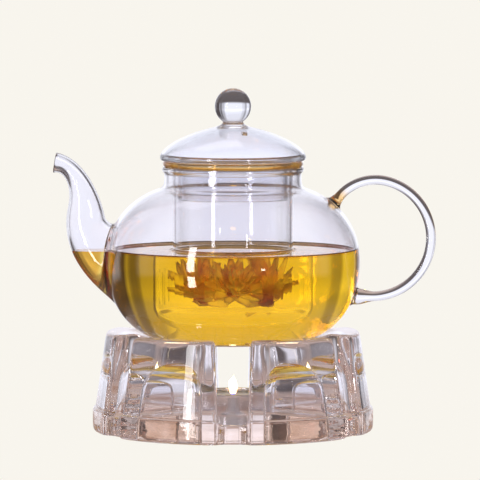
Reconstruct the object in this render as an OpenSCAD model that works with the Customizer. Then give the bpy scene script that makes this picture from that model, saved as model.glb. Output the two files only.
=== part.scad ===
// A glass teapot with a lift-out infuser, on a six-lobed warmer stand with a tealight.
// Millimetres, +Z up. The origin is on the pot's axis, at the underside of the stand.
// The spout points towards -X and the handle towards +X.

/* [Stand] */
// Radius of the stand's base disc
base_r = 72; // [71:0.5:75]
// Height of the base disc
base_h = 12.5; // [12:0.5:14]
// Height of the whole stand
stand_h = 51; // [50:0.5:54]
// Radius of the ring of lobes where it meets the base
lobe_foot_r = 70.5; // [69:0.5:71]
// Radius of the ring of lobes at the top
lobe_top_r = 65; // [63:0.5:67]
// Width of the air slots between the lobes
slot_w = 15; // [13:0.5:17]
// Radius of the candle well in the middle
well_r = 21.5; // [21.25:0.25:23]
// Thickness of glass round the hollow inside each lobe
lobe_wall = 7; // [6:0.5:8]

/* [Tealight] */
// Radius of the tealight's metal cup
cup_r = 19; // [18.5:0.25:19.5]
// Height of the tealight's metal cup
cup_h = 11.5; // [10:0.5:16]
// Depth of the wax below the rim of the cup
wax_drop = 2; // [1:0.5:5]

/* [Pot] */
// Largest outer radius of the bowl
bowl_r = 65; // [63:0.5:67]
// Thickness of the blown glass
glass_t = 2; // [1.6:0.1:2.4]
// Thickness of the glass at the middle of the pot's foot
foot_t = 3.5; // [3:0.25:4.5]
// Outer radius of the neck
neck_r = 35; // [34.5:0.25:36]
// Height of the tea above the pot's foot
tea_h = 47; // [35:1:55]

/* [Spout and handle] */
// Thickness of the spout's wall
spout_t = 1.5; // [1.2:0.1:1.8]
// Half of the spout's width at its root
spout_root_w = 12.5; // [11:0.5:14]
// Radius of the handle's glass rod
rod_r = 2.5; // [2:0.25:3]
// Radius of the handle's large outer bend
handle_bend_r = 30; // [29:0.5:31]

/* [Infuser] */
// Outer radius of the infuser's tube
tube_r = 30.7; // [29.5:0.1:31]
// Thickness of the infuser's glass
tube_t = 1.4; // [1.2:0.1:1.6]
// Thickness of the rim that rests on the neck of the pot
flange_h = 2.7; // [2.2:0.1:3.2]
// Number of slits round the strainer
slit_count = 36; // [24:4:40]
// Width of a slit
slit_w = 1.2; // [0.8:0.1:1.4]
// Radius of a flower head
flower_r = 12.2; // [10:0.2:12.4]

/* [Lid] */
// Largest radius of the lid's dome
dome_r = 37.3; // [36.8:0.1:39]
// Outer radius of the collar inside the infuser
collar_r = 28; // [26:0.25:28.5]
// Radius of the ball knob
knob_r = 9.3; // [8:0.1:10.5]

/* [Hidden] */
$fn = 96;

over = 1; // how far a cutting shape runs past what it cuts
far = 200; // longer than any part

clear_glass = [0.86, 0.9, 0.95, 0.35];
amber_glass = [0.85, 0.6, 0.3, 0.5];
tea_colour = [0.93, 0.68, 0.15, 0.6];

// Stand
lobe_step = 60; // angle from one lobe to the next
lobe_count = 6;
slot_floor_z = 10; // bottom of the air slots
base_chamfer = 2;
base_edge = 1; // chamfer on the disc's top edge
notch_r = 8; // shallow notch in the disc's rim at each slot
notch_out = 77; // distance of a notch's centre from the axis
candle_z = 8.5; // floor of the recess that the tealight stands in
candle_gap = 1; // gap round the tealight in its recess
dish_h = 5.5; // depth of the dish that the pot sits in
dish_flat_r = 35.5; // radius of the dish's flat floor
dish_top_r = 51.5; // radius of the dish's mouth
lobe_chamfer = 1.5; // chamfer on the top of a lobe's outer edge
hollow_start = 33; // how near to the axis a lobe's hollow comes
hollow_top_z = 38; // crown of a lobe's arched hollow
hollow_arch_r = 17; // radius of the arch
seat_z = stand_h - dish_h; // height at which the pot's foot rests

// Tealight
cup_t = 0.6;
tab_r = 6;
tab_h = 0.4;
wick_r = 0.9;
wick_h = 4.5; // above the wax
cup_top_z = candle_z + cup_h;
wax_top_z = cup_top_z - wax_drop;

// Pot, with heights above its foot
foot_r = 27; // radius of the flat foot
belly_h = 41.5; // height of the widest circle
shoulder = [38, 78.5]; // where the bowl passes into the neck's root
neck_root_h = 83; // where the neck becomes a straight tube
lip_h = 87; // start of the rolled lip
mouth_h = 90; // top of the pot
lip_out = 1.2; // how far the rolled lip stands out
lip_edge = 0.8; // rounding of the lip
curve_steps = 12; // straight pieces in each long curve
root_steps = 4; // straight pieces in the neck's root
lower_curve = [[foot_r, 0], [50, 0], [bowl_r, 16.5], [bowl_r, belly_h]];
upper_curve = [[bowl_r, belly_h], [bowl_r, 60.5], [53, 73.5], shoulder];
root_curve = [shoulder, [36.2, 79.1], [neck_r, 80.5], [neck_r, neck_root_h]];

// Spout, with points given as [outwards from the bowl's widest circle, up from the foot]
top_curve = [[25.4, 97], [13, 95], [3.5, 79], [0.5, 64]];
top_root = [[0.5, 64], [0.3, 63], [-0.5, 61], [-5, 60]];
beak_curve = [[27.1, 86.7], [20, 88.5], [17.5, 78], [19.2, 70]];
keel_curve = [[19.2, 70], [22.5, 55], [19, 38], [-5, 20]];
top_share = 0.6; // share of the spout's length that top_curve takes
beak_share = 0.45; // share of the spout's length that beak_curve takes
tip_w = 5; // half of the spout's width at its tip
waist_w = 4.5;
swell_w = 11;
spout_steps = 22;
spout_sides = 20;
spout_inward = 10; // how far the spout's root runs in through the bowl's wall

// Handle, with points in the XZ plane and heights above the pot's foot
handle_foot = [bowl_r + 6.3, 23.3]; // start of the large bend
bend_turn = 75; // direction in which the large bend passes into the small one
small_bend_r = 24;
small_bend_end = 140;
pad_len = 7.5; // length of a weld pad's flare, the part inside the bowl included
pad_r = 5; // radius of the flare at its wide end
upper_run = 7; // from the small bend's end into the bowl
lower_run = 13; // from the large bend's start into the bowl

// Infuser
flange_z = seat_z + mouth_h; // underside of the infuser's rim
flange_top_z = flange_z + flange_h;
flange_r = neck_r + 1;
infuser_low_z = seat_z + 22.5; // underside of the infuser's floor
floor_bend_r = 3;
slit_bottom = 1; // above the floor's bend
slit_h = 11;
strainer_h = 13;
strainer_z = infuser_low_z + floor_bend_r;
sleeve_z = strainer_z + strainer_h;
tea_gap = 0.3; // between the tea and the glass round it
flower_ring_r = 14.4; // distance of the flower heads from the axis
flower_h = 20;
flower_z = infuser_low_z + tube_t + tea_gap;

// Lid, with heights above the infuser's rim
lid_t = 2;
lid_foot_r = 34.6; // outer edge of the lid's flat underside
rim_curve = [[lid_foot_r, 0], [36.3, 0], [dome_r, 0.6], [dome_r, 1.8]];
dome_top = [6, 18];
dome_curve = [[dome_r, 1.8], [dome_r, 6.2], [27, 13.6], dome_top];
collar_t = 1.3;
collar_h = 19.7;
stem_r = 5.3;
stem_h = 2.5;
knob_up = 28; // centre of the ball
vent_r = 1.5;
vent_at = [5.8, -16.5];

// Point on a cubic curve with control points p, at t from 0 to 1
function curve_at(p, t) =
    pow(1 - t, 3) * p[0] + 3 * t * pow(1 - t, 2) * p[1]
    + 3 * t * t * (1 - t) * p[2] + pow(t, 3) * p[3];

// Direction of travel on the same curve
function curve_way(p, t) =
    pow(1 - t, 2) * (p[1] - p[0]) + 2 * t * (1 - t) * (p[2] - p[1])
    + t * t * (p[3] - p[2]);

// The same point moved to the left of the direction of travel
function curve_left(p, t, d) =
    let (w = curve_way(p, t))
    curve_at(p, t) + d * [-w[1], w[0]] / norm(w);

function reversed(list) = [for (i = [len(list) - 1 : -1 : 0]) list[i]];

// Points along a curve, moved to the left by d
function run(p, steps, d = 0) =
    [for (i = [0 : steps]) curve_left(p, i / steps, d)];

// The same from the second point on
function rest_of_run(p, steps, d = 0) =
    [for (i = [1 : steps]) curve_left(p, i / steps, d)];

// The bowl's glass thickens towards the foot over the first half of the lower curve
function foot_wall(t) = glass_t + (foot_t - glass_t) * max(0, 1 - 2 * t);

// Inner outline of the bowl from the foot to the widest circle, moved inwards by gap
function bowl_inside(gap) =
    [for (i = [0 : curve_steps])
        let (t = i / curve_steps)
        curve_left(lower_curve, t, foot_wall(t) + gap)];

bowl_outline = concat(
    run(lower_curve, curve_steps),
    rest_of_run(upper_curve, curve_steps),
    rest_of_run(root_curve, root_steps)
);

// Inner outline of the neck's root, from the end of the bowl's own inner outline
neck_lining = concat(
    [curve_left(upper_curve, 1, glass_t)],
    rest_of_run(root_curve, root_steps, glass_t)
);

// Spout section: s runs from 0 at the tip to 1 at the root
function spout_top(s) =
    s < top_share ? curve_at(top_curve, s / top_share)
    : curve_at(top_root, (s - top_share) / (1 - top_share));

function spout_keel(s) =
    s < beak_share ? curve_at(beak_curve, s / beak_share)
    : curve_at(keel_curve, (s - beak_share) / (1 - beak_share));

function spout_half_width(s) =
    curve_at([tip_w, waist_w, swell_w, spout_root_w], s);

// One ring of the spout, made smaller by the thickness t, moved by shift in X and Z
function spout_ring(s, t, shift = [0, 0]) =
    let (
        top = spout_top(s),
        keel = spout_keel(s),
        middle = (top + keel) / 2,
        half = (top - keel) / 2,
        arm = half * (1 - t / norm(half)),
        w = spout_half_width(s) - t
    )
    [for (i = [0 : spout_sides - 1])
        let (
            a = 360 * i / spout_sides,
            p = middle + cos(a) * arm
        )
        [-(bowl_r + p[0]) + shift[0], sin(a) * w, seat_z + p[1] + shift[1]]];

spout_bits = [for (i = [0 : spout_steps]) i / spout_steps];

// A skin through rings that all have the same number of points
module loft(rings) {
    sides = len(rings[0]);
    last = len(rings) - 1;
    points = [for (ring = rings) for (p = ring) p];
    side_faces = [
        for (k = [0 : last - 1]) for (i = [0 : sides - 1])
            let (
                j = (i + 1) % sides,
                a = k * sides + i,
                b = k * sides + j,
                c = a + sides,
                d = b + sides
            )
            each [[a, b, d], [a, d, c]]
    ];
    start_cap = [for (i = [sides - 1 : -1 : 0]) i];
    end_cap = [for (i = [0 : sides - 1]) last * sides + i];
    polyhedron(points, concat(side_faces, [start_cap, end_cap]));
}

module spout_skin() {
    rings = [for (s = spout_bits) spout_ring(s, 0)];
    loft(concat(rings, [spout_ring(1, 0, [spout_inward, 0])]));
}

// The passage inside the spout; gap makes it narrower, and it opens past the tip
module spout_passage(gap = 0) {
    t = spout_t + gap;
    rings = [for (s = spout_bits) spout_ring(s, t)];
    loft(concat(
        [spout_ring(0, t, [-over, 0])],
        rings,
        [spout_ring(1, t, [spout_inward, 0])]
    ));
}

// Everything inside the outer surface of the bowl
module bowl_space() {
    translate([0, 0, seat_z])
        rotate_extrude()
            polygon(concat([[0, 0]], bowl_outline, [[0, neck_root_h]]));
}

// Plan of one lobe, from the slot walls outwards; inset moves both walls inwards
module lobe_plan(inset) {
    half = slot_w / 2 + inset;
    start = half / sin(lobe_step / 2);
    wide = tan(lobe_step / 2) * (far - start);
    polygon([[start, 0], [far, -wide], [far, wide]]);
}

// The arched hollow that opens under each lobe, along +X
module lobe_hollow() {
    arch_z = hollow_top_z - hollow_arch_r;
    intersection() {
        translate([0, 0, -over])
            linear_extrude(hollow_top_z + over * 2)
                lobe_plan(lobe_wall);
        cylinder(r1 = lobe_foot_r - lobe_wall, r2 = lobe_top_r - lobe_wall, h = stand_h);
        translate([hollow_start, 0, 0])
            union() {
                translate([0, -far / 2, -over])
                    cube([far, far, arch_z + over]);
                translate([0, 0, arch_z])
                    rotate([0, 90, 0])
                        cylinder(r = hollow_arch_r, h = far);
            }
    }
    // the mouth, through the underside
    translate([0, 0, -over])
        linear_extrude(over * 2)
            intersection() {
                lobe_plan(lobe_wall);
                circle(lobe_foot_r - lobe_wall);
                translate([hollow_start, -far / 2])
                    square(far);
            }
}

module stand_base() {
    color(clear_glass)
    difference() {
        rotate_extrude()
            polygon([
                [0, 0],
                [base_r - base_chamfer, 0],
                [base_r, base_chamfer],
                [base_r, base_h - base_edge],
                [base_r - base_edge, base_h],
                [0, base_h]
            ]);
        translate([0, 0, candle_z])
            cylinder(r = cup_r + candle_gap, h = far);
        translate([0, 0, slot_floor_z])
            cylinder(r = well_r, h = far);
        for (k = [0 : lobe_count / 2 - 1])
            rotate(lobe_step / 2 + k * lobe_step)
                translate([-far / 2, -slot_w / 2, slot_floor_z])
                    cube([far, slot_w, far]);
        for (k = [0 : lobe_count - 1])
            rotate(k * lobe_step) {
                lobe_hollow();
                rotate(lobe_step / 2)
                    translate([notch_out, 0, -over])
                        cylinder(r = notch_r, h = base_h + over * 2);
            }
    }
}

module stand_lobe(k) {
    color(clear_glass)
    rotate((k - 1) * lobe_step)
        difference() {
            intersection() {
                rotate_extrude()
                    polygon([
                        [well_r, base_h],
                        [lobe_foot_r, base_h],
                        [lobe_top_r, stand_h - lobe_chamfer],
                        [lobe_top_r - lobe_chamfer, stand_h],
                        [dish_top_r, stand_h],
                        [dish_flat_r, seat_z],
                        [well_r, seat_z]
                    ]);
                linear_extrude(stand_h + over)
                    lobe_plan(0);
            }
            lobe_hollow();
        }
}

module tealight_cup() {
    color("silver")
    translate([0, 0, candle_z])
        difference() {
            cylinder(r = cup_r, h = cup_h);
            translate([0, 0, cup_t])
                cylinder(r = cup_r - cup_t, h = cup_h);
        }
}

module tealight_wax() {
    color("ivory")
    translate([0, 0, candle_z + cup_t])
        difference() {
            cylinder(r = cup_r - cup_t, h = cup_h - cup_t - wax_drop);
            cylinder(r = tab_r, h = tab_h);
            cylinder(r = wick_r, h = cup_h);
        }
}

module wick_tab() {
    color("lightgray")
    translate([0, 0, candle_z + cup_t])
        cylinder(r = tab_r, h = tab_h);
}

module tealight_wick() {
    low = candle_z + cup_t + tab_h;
    color("dimgray")
    translate([0, 0, low])
        cylinder(r = wick_r, h = wax_top_z + wick_h - low);
}

// The bowl up to its widest circle, with the lower part of the hole into the spout
module pot_bowl() {
    outside = run(lower_curve, curve_steps);
    color(clear_glass)
    difference() {
        translate([0, 0, seat_z])
            rotate_extrude()
                polygon(concat([[0, 0]], outside, reversed(bowl_inside(0)), [[0, foot_t]]));
        spout_passage();
    }
}

// The bowl from its widest circle to the neck's root, with the upper part of the same hole
module pot_shoulder() {
    outside = run(upper_curve, curve_steps);
    inside = run(upper_curve, curve_steps, glass_t);
    color(clear_glass)
    difference() {
        translate([0, 0, seat_z])
            rotate_extrude()
                polygon(concat(outside, reversed(inside)));
        spout_passage();
    }
}

// The neck from the end of the bowl's curve, with its root and its rolled lip
module pot_neck() {
    inner = neck_r - glass_t;
    color(clear_glass)
    translate([0, 0, seat_z])
        rotate_extrude()
            polygon(concat(
                run(root_curve, root_steps),
                [
                    [neck_r, lip_h],
                    [neck_r + lip_out, lip_h + lip_edge],
                    [neck_r + lip_out, mouth_h - lip_edge],
                    [neck_r + lip_out - lip_edge, mouth_h],
                    [inner + lip_edge, mouth_h],
                    [inner, mouth_h - lip_edge]
                ],
                reversed(neck_lining)
            ));
}

module spout() {
    color(clear_glass)
    difference() {
        spout_skin();
        spout_passage();
        bowl_space();
    }
}

// Part of a ring of round rod standing in the XZ plane, from angle a to angle b
module rod_bend(centre, bend, a, b) {
    translate([centre[0], 0, centre[1]])
        rotate([90, 0, 0])
            rotate(a)
                rotate_extrude(angle = b - a)
                    translate([bend, 0])
                        circle(rod_r, $fn = 32);
}

// A cone or rod that starts at a point of the XZ plane and leads away in the given direction
module rod_run(start, turn, r1, r2, length) {
    translate([start[0], 0, start[1]])
        rotate([0, -turn, 0])
            rotate([0, 90, 0])
                cylinder(r1 = r1, r2 = r2, h = length, $fn = 48);
}

function on_circle(centre, r, a) = centre + r * [cos(a), sin(a)];

large_centre = [handle_foot[0], seat_z + handle_foot[1] + handle_bend_r];
small_centre = on_circle(large_centre, handle_bend_r - small_bend_r, bend_turn);
upper_end = on_circle(small_centre, small_bend_r, small_bend_end);
upper_way = small_bend_end + 90;
upper_pad_at = on_circle(upper_end, upper_run - pad_len + over, upper_way);
lower_end = [handle_foot[0], seat_z + handle_foot[1]];
lower_pad_at = lower_end - [lower_run - pad_len, 0];

module handle() {
    color(clear_glass)
    difference() {
        union() {
            rod_bend(large_centre, handle_bend_r, -90, bend_turn);
            rod_bend(small_centre, small_bend_r, bend_turn, small_bend_end);
            rod_run(upper_end, upper_way, rod_r, rod_r, upper_run - pad_len + over);
            rod_run(lower_end, 180, rod_r, rod_r, lower_run - pad_len);
        }
        bowl_space();
    }
}

module handle_weld_upper() {
    color(amber_glass)
    difference() {
        rod_run(upper_pad_at, upper_way, rod_r, pad_r, pad_len);
        bowl_space();
    }
}

module handle_weld_lower() {
    color(clear_glass)
    difference() {
        rod_run(lower_pad_at, 180, rod_r, pad_r, pad_len);
        bowl_space();
    }
}

// The tea fills the bowl to tea_h round and under the infuser, and the foot of the spout
module tea() {
    hole_r = tube_r + tea_gap;
    under = infuser_low_z - seat_z - tea_gap;
    color(tea_colour)
    intersection() {
        union() {
            translate([0, 0, seat_z])
                difference() {
                    rotate_extrude()
                        polygon(concat(
                            [[0, foot_t + tea_gap]],
                            bowl_inside(tea_gap),
                            rest_of_run(upper_curve, curve_steps, glass_t + tea_gap),
                            [[0, shoulder[1]]]
                        ));
                    translate([0, 0, under])
                        cylinder(r = hole_r, h = far);
                }
            spout_tea();
        }
        translate([-far / 2, -far / 2, 0])
            cube([far, far, seat_z + tea_h]);
    }
}

// The tea in the spout, from the bowl's own tea outwards
module spout_tea() {
    intersection() {
        spout_passage(tea_gap);
        translate([-far, -far / 2, 0])
            cube([far - bowl_r + spout_inward, far, far]);
    }
}

module infuser_rim() {
    r = flange_h / 2;
    steps = 8;
    bend = [for (i = [0 : steps])
        on_circle([flange_r - r, r], r, -90 + 180 * i / steps)];
    color(amber_glass)
    translate([0, 0, flange_z])
        rotate_extrude()
            polygon(concat([[tube_r - tube_t, 0]], bend, [[tube_r - tube_t, flange_h]]));
}

module tube_piece(low, high) {
    translate([0, 0, low])
        difference() {
            cylinder(r = tube_r, h = high - low);
            translate([0, 0, -over])
                cylinder(r = tube_r - tube_t, h = high - low + over * 2);
        }
}

module infuser_sleeve() {
    color(clear_glass)
    tube_piece(sleeve_z, flange_z);
}

module infuser_strainer() {
    color(clear_glass)
    difference() {
        tube_piece(strainer_z, sleeve_z);
        for (i = [0 : slit_count - 1])
            rotate(i * 360 / slit_count)
                translate([tube_r - tube_t - over, -slit_w / 2, strainer_z + slit_bottom])
                    cube([tube_t + over * 2, slit_w, slit_h]);
    }
}

module infuser_floor() {
    steps = 6;
    centre = [tube_r - floor_bend_r, floor_bend_r];
    outer = [for (i = [0 : steps]) on_circle(centre, floor_bend_r, -90 + 90 * i / steps)];
    inner = [for (i = [0 : steps]) on_circle(centre, floor_bend_r - tube_t, -90 * i / steps)];
    color(clear_glass)
    translate([0, 0, infuser_low_z])
        rotate_extrude()
            polygon(concat([[0, 0]], outer, inner, [[0, tube_t]]));
}

// One flower head, as a rounded cushion of its outer size
module flower(k) {
    steps = 12;
    edge = [for (i = [0 : steps])
        let (a = -90 + 180 * i / steps)
        [flower_r * cos(a), flower_h / 2 * (1 + sin(a))]];
    color("peru")
    rotate(-90 + (k - 1) * 120)
        translate([flower_ring_r, 0, flower_z])
            rotate_extrude()
                polygon(edge);
}

module lid_dome() {
    lining = [for (p = run(dome_curve, curve_steps, lid_t)) if (p[1] > lid_t) p];
    low = lining[0];
    inner = collar_r - collar_t;
    color(clear_glass)
    translate([0, 0, flange_top_z])
        difference() {
            rotate_extrude()
                polygon(concat(
                    [[inner, 0]],
                    run(rim_curve, root_steps),
                    rest_of_run(dome_curve, curve_steps),
                    [[0, dome_top[1]], [0, dome_top[1] - lid_t]],
                    reversed(lining),
                    [[low[0] - 0.2, lid_t], [inner, lid_t]]
                ));
            translate([vent_at[0], vent_at[1], lid_t])
                cylinder(r = vent_r, h = far, $fn = 32);
        }
}

module lid_collar() {
    color(clear_glass)
    translate([0, 0, flange_top_z - collar_h])
        difference() {
            cylinder(r = collar_r, h = collar_h);
            translate([0, 0, -over])
                cylinder(r = collar_r - collar_t, h = collar_h + over * 2);
        }
}

module lid_knob() {
    neck_top = knob_up - sqrt(knob_r * knob_r - stem_r * stem_r);
    color(clear_glass)
    translate([0, 0, flange_top_z])
        union() {
            translate([0, 0, knob_up])
                sphere(knob_r);
            rotate_extrude()
                polygon([
                    [0, dome_top[1]],
                    dome_top,
                    [stem_r, dome_top[1] + (dome_top[0] - stem_r)],
                    [stem_r, neck_top],
                    [stem_r - over, neck_top + stem_h],
                    [0, neck_top + stem_h]
                ]);
        }
}

stand_base();
stand_lobe(1);  // stand_lobe_1
stand_lobe(2);  // stand_lobe_2
stand_lobe(3);  // stand_lobe_3
stand_lobe(4);  // stand_lobe_4
stand_lobe(5);  // stand_lobe_5
stand_lobe(6);  // stand_lobe_6
tealight_cup();
tealight_wax();
wick_tab();
tealight_wick();
pot_bowl();
pot_shoulder();
pot_neck();
spout();
handle();
handle_weld_upper();
handle_weld_lower();
tea();
infuser_rim();
infuser_sleeve();
infuser_strainer();
infuser_floor();
flower(1);  // flower_1
flower(2);  // flower_2
flower(3);  // flower_3
lid_dome();
lid_collar();
lid_knob();
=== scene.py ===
"""A glass teapot with a lift-out infuser and chrysanthemum tea, on a six-lobed warmer stand."""

import logging
import math
import random
from contextlib import contextmanager
from dataclasses import dataclass, field
from enum import Enum, IntEnum
from typing import Any, Callable, Iterable, Iterator, Sequence

import bmesh
import bpy
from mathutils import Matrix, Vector


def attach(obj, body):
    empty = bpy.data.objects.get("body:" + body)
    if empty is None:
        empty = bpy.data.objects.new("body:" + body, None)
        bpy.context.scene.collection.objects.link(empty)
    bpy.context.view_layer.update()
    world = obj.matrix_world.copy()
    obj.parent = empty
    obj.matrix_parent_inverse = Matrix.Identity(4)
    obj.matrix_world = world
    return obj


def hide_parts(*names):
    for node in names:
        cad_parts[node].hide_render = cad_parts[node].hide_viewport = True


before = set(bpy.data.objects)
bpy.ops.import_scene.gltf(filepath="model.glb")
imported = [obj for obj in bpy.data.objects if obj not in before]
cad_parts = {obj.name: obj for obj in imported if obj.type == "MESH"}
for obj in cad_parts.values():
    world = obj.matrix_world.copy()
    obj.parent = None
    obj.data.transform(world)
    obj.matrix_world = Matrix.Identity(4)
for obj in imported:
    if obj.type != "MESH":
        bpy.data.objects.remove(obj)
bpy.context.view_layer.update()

MM = 0.001
TURN = 2 * math.pi
MERGE = 1e-6  # vertices nearer than this are one
log = logging.getLogger("teapot")

Point = tuple[float, float]
Spot = tuple[float, float, float]
Colour = tuple[float, float, float]


# ---------------------------------------------------------------- curves


@dataclass(frozen=True)
class Cubic:
    """A cubic curve in a plane, in millimetres."""

    a: Point
    b: Point
    c: Point
    d: Point

    def at(self, t: float) -> Point:
        """Returns the point at t, from 0 to 1."""
        u = 1 - t
        w = (u * u * u, 3 * t * u * u, 3 * t * t * u, t * t * t)
        return tuple(
            w[0] * self.a[i] + w[1] * self.b[i] + w[2] * self.c[i] + w[3] * self.d[i]
            for i in (0, 1)
        )

    def left(self, t: float, distance: float) -> Point:
        """Moves a point of the curve to the left of the direction of travel.

        Args:
            t: Place on the curve, from 0 to 1.
            distance: How far the point moves, in millimetres.

        Returns:
            The moved point.
        """
        u = 1 - t
        way = [
            u * u * (self.b[i] - self.a[i])
            + 2 * t * u * (self.c[i] - self.b[i])
            + t * t * (self.d[i] - self.c[i])
            for i in (0, 1)
        ]
        length = math.hypot(*way)
        x, y = self.at(t)
        return (x - distance * way[1] / length, y + distance * way[0] / length)

    def run(self, steps: int, distance: float = 0.0) -> list[Point]:
        """Returns the points after the first one, moved to the left by a distance."""
        return [self.left(i / steps, distance) for i in range(1, steps + 1)]


def blend_between(a: float, b: float, x: float) -> float:
    """Returns 0 below a, 1 above b and a smooth step between them."""
    t = min(1.0, max(0.0, (x - a) / (b - a)))
    return t * t * (3 - 2 * t)


def arc(centre: Point, radius: float, start: float, end: float, steps: int) -> list[Point]:
    """Points on a circle's arc.

    Args:
        centre: Centre of the circle.
        radius: Its radius.
        start: First angle, in degrees.
        end: Last angle, in degrees.
        steps: Number of straight pieces.

    Returns:
        The points, both ends included.
    """
    angles = [math.radians(start + (end - start) * i / steps) for i in range(steps + 1)]
    return [(centre[0] + radius * math.cos(a), centre[1] + radius * math.sin(a)) for a in angles]


def straight(start: Point, end: Point, steps: int) -> list[Point]:
    """Returns points on a straight line after its start, with its end."""
    return [
        tuple(start[k] + (end[k] - start[k]) * i / steps for k in (0, 1))
        for i in range(1, steps + 1)
    ]


def raised(outline: Iterable[Point], height: float) -> list[Point]:
    """Returns an outline moved up by a height."""
    return [(r, z + height) for r, z in outline]


def inside(polygon: Sequence[Point], point: Point) -> bool:
    """Tells whether a point lies in a polygon.

    Args:
        polygon: Corners of the polygon, in order.
        point: The point to test.

    Returns:
        True where the point is inside.
    """
    found = False
    x, y = point
    for (ax, ay), (bx, by) in zip(polygon, [*polygon[1:], polygon[0]]):
        if (ay > y) != (by > y) and x < (bx - ax) * (y - ay) / (by - ay) + ax:
            found = not found
    return found


# ---------------------------------------------------------------- modelling


def pick(*pieces: bpy.types.Object) -> None:
    """Selects these pieces alone, with the last one active."""
    bpy.ops.object.select_all(action="DESELECT")
    for piece in pieces:
        piece.select_set(True)
    bpy.context.view_layer.objects.active = pieces[-1]


@contextmanager
def editing(piece: bpy.types.Object) -> Iterator[None]:
    """Opens a piece in edit mode with nothing selected, and closes it again.

    Args:
        piece: The piece to edit.
    """
    pick(piece)
    bpy.ops.object.mode_set(mode="EDIT")
    bpy.ops.mesh.select_mode(type="VERT")
    bpy.ops.mesh.select_all(action="DESELECT")
    yield
    bpy.ops.object.mode_set(mode="OBJECT")


def choose(piece: bpy.types.Object, kind: str, test: Callable[[Any], bool]) -> int:
    """Selects the parts of the open mesh that pass a test, and nothing else.

    Args:
        piece: The piece in edit mode.
        kind: "VERT", "EDGE" or "FACE".
        test: Says whether a part is selected.

    Returns:
        How many were selected.
    """
    bpy.ops.mesh.select_mode(type=kind)
    bpy.ops.mesh.select_all(action="DESELECT")
    mesh = bmesh.from_edit_mesh(piece.data)
    parts = {"VERT": mesh.verts, "EDGE": mesh.edges, "FACE": mesh.faces}[kind]
    count = 0
    for part in parts:
        if test(part):
            part.select_set(True)
            count += 1
    mesh.select_flush_mode()
    bmesh.update_edit_mesh(piece.data)
    return count


def merge_and_face_out(piece: bpy.types.Object) -> None:
    """Merges vertices that meet and turns every face outwards."""
    with editing(piece):
        bpy.ops.mesh.select_all(action="SELECT")
        bpy.ops.mesh.remove_doubles(threshold=MERGE)
        bpy.ops.mesh.normals_make_consistent(inside=False)


def ring_of(name: str, count: int, places: Sequence[Spot]) -> bpy.types.Object:
    """Adds a circle and lays its vertices at the given places.

    Args:
        name: Name of the new piece.
        count: Number of vertices.
        places: Their places, in millimetres.

    Returns:
        The circle.
    """
    bpy.ops.mesh.primitive_circle_add(vertices=count, radius=0.01)
    piece = bpy.context.object
    piece.name = piece.data.name = name
    for vertex, place in zip(piece.data.vertices, places):
        vertex.co = Vector(place) * MM
    return piece


def turned(name: str, outline: Sequence[Point], steps: int, closed: bool = False,
           angle: float = TURN) -> bpy.types.Object:
    """Spins an outline about the upright axis.

    Args:
        name: Name of the new piece.
        outline: Points (radius, height) in millimetres.
        steps: Number of steps round the axis.
        closed: Whether the outline's end joins its start.
        angle: How far it is spun.

    Returns:
        The turned piece, with its faces outwards.
    """
    piece = ring_of(name, len(outline), [(r, 0.0, z) for r, z in outline])
    last = len(outline) - 1
    with editing(piece):
        if not closed:
            choose(piece, "EDGE", lambda e: {v.index for v in e.verts} == {0, last})
            bpy.ops.mesh.delete(type="EDGE")
            bpy.ops.mesh.select_mode(type="VERT")
        bpy.ops.mesh.select_all(action="SELECT")
        bpy.ops.mesh.spin(steps=steps, angle=angle, center=(0, 0, 0), axis=(0, 0, 1))
    merge_and_face_out(piece)
    return piece


def next_ring(piece: bpy.types.Object, order: Sequence[int], places: Sequence[Spot]) -> list[int]:
    """Lays freshly extruded vertices at their places.

    Args:
        piece: The piece in edit mode.
        order: Indices of the ring that was extruded, in order.
        places: Where the new vertices go, in millimetres.

    Returns:
        Indices of the new ring, in the same order.
    """
    mesh = bmesh.from_edit_mesh(piece.data)
    mesh.verts.ensure_lookup_table()
    mesh.verts.index_update()
    found = []
    for index, place in zip(order, places):
        old = mesh.verts[index]
        new = next(e.other_vert(old) for e in old.link_edges if e.other_vert(old).select)
        new.co = Vector(place) * MM
        found.append(new.index)
    bmesh.update_edit_mesh(piece.data)
    return found


def lofted(name: str, rings: Sequence[Sequence[Spot]], capped: bool = False) -> bpy.types.Object:
    """Extrudes a ring of edges from place to place.

    Args:
        name: Name of the new piece.
        rings: Rings of points in millimetres, all with the same number of points.
        capped: Whether both ends get a face.

    Returns:
        The lofted piece.
    """
    piece = ring_of(name, len(rings[0]), rings[0])
    with editing(piece):
        order = list(range(len(rings[0])))
        bpy.ops.mesh.select_all(action="SELECT")
        if capped:
            bpy.ops.mesh.edge_face_add()
        for ring in rings[1:]:
            bpy.ops.mesh.extrude_edges_indiv()
            order = next_ring(piece, order, ring)
        if capped:
            bpy.ops.mesh.edge_face_add()
    return piece


def joined(name: str, pieces: Sequence[bpy.types.Object]) -> bpy.types.Object:
    """Makes one mesh of several pieces.

    Args:
        name: Name of the result.
        pieces: The pieces to join.

    Returns:
        The joined piece.
    """
    pick(*pieces)
    bpy.ops.object.join()
    piece = bpy.context.object
    piece.name = piece.data.name = name
    return piece


def copy_of(piece: bpy.types.Object, turn: float = 0.0) -> bpy.types.Object:
    """Copies a piece with its own mesh, and turns it about the upright axis.

    Args:
        piece: The piece to copy.
        turn: Angle in radians.

    Returns:
        The copy, with its place in its mesh.
    """
    pick(piece)
    bpy.ops.object.duplicate()
    twin = bpy.context.object
    twin.rotation_euler = (0, 0, turn)
    settle(twin)
    return twin


def settle(piece: bpy.types.Object) -> None:
    """Puts a piece's place, turn and scale into its mesh."""
    pick(piece)
    bpy.ops.object.transform_apply(location=True, rotation=True, scale=True)


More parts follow.
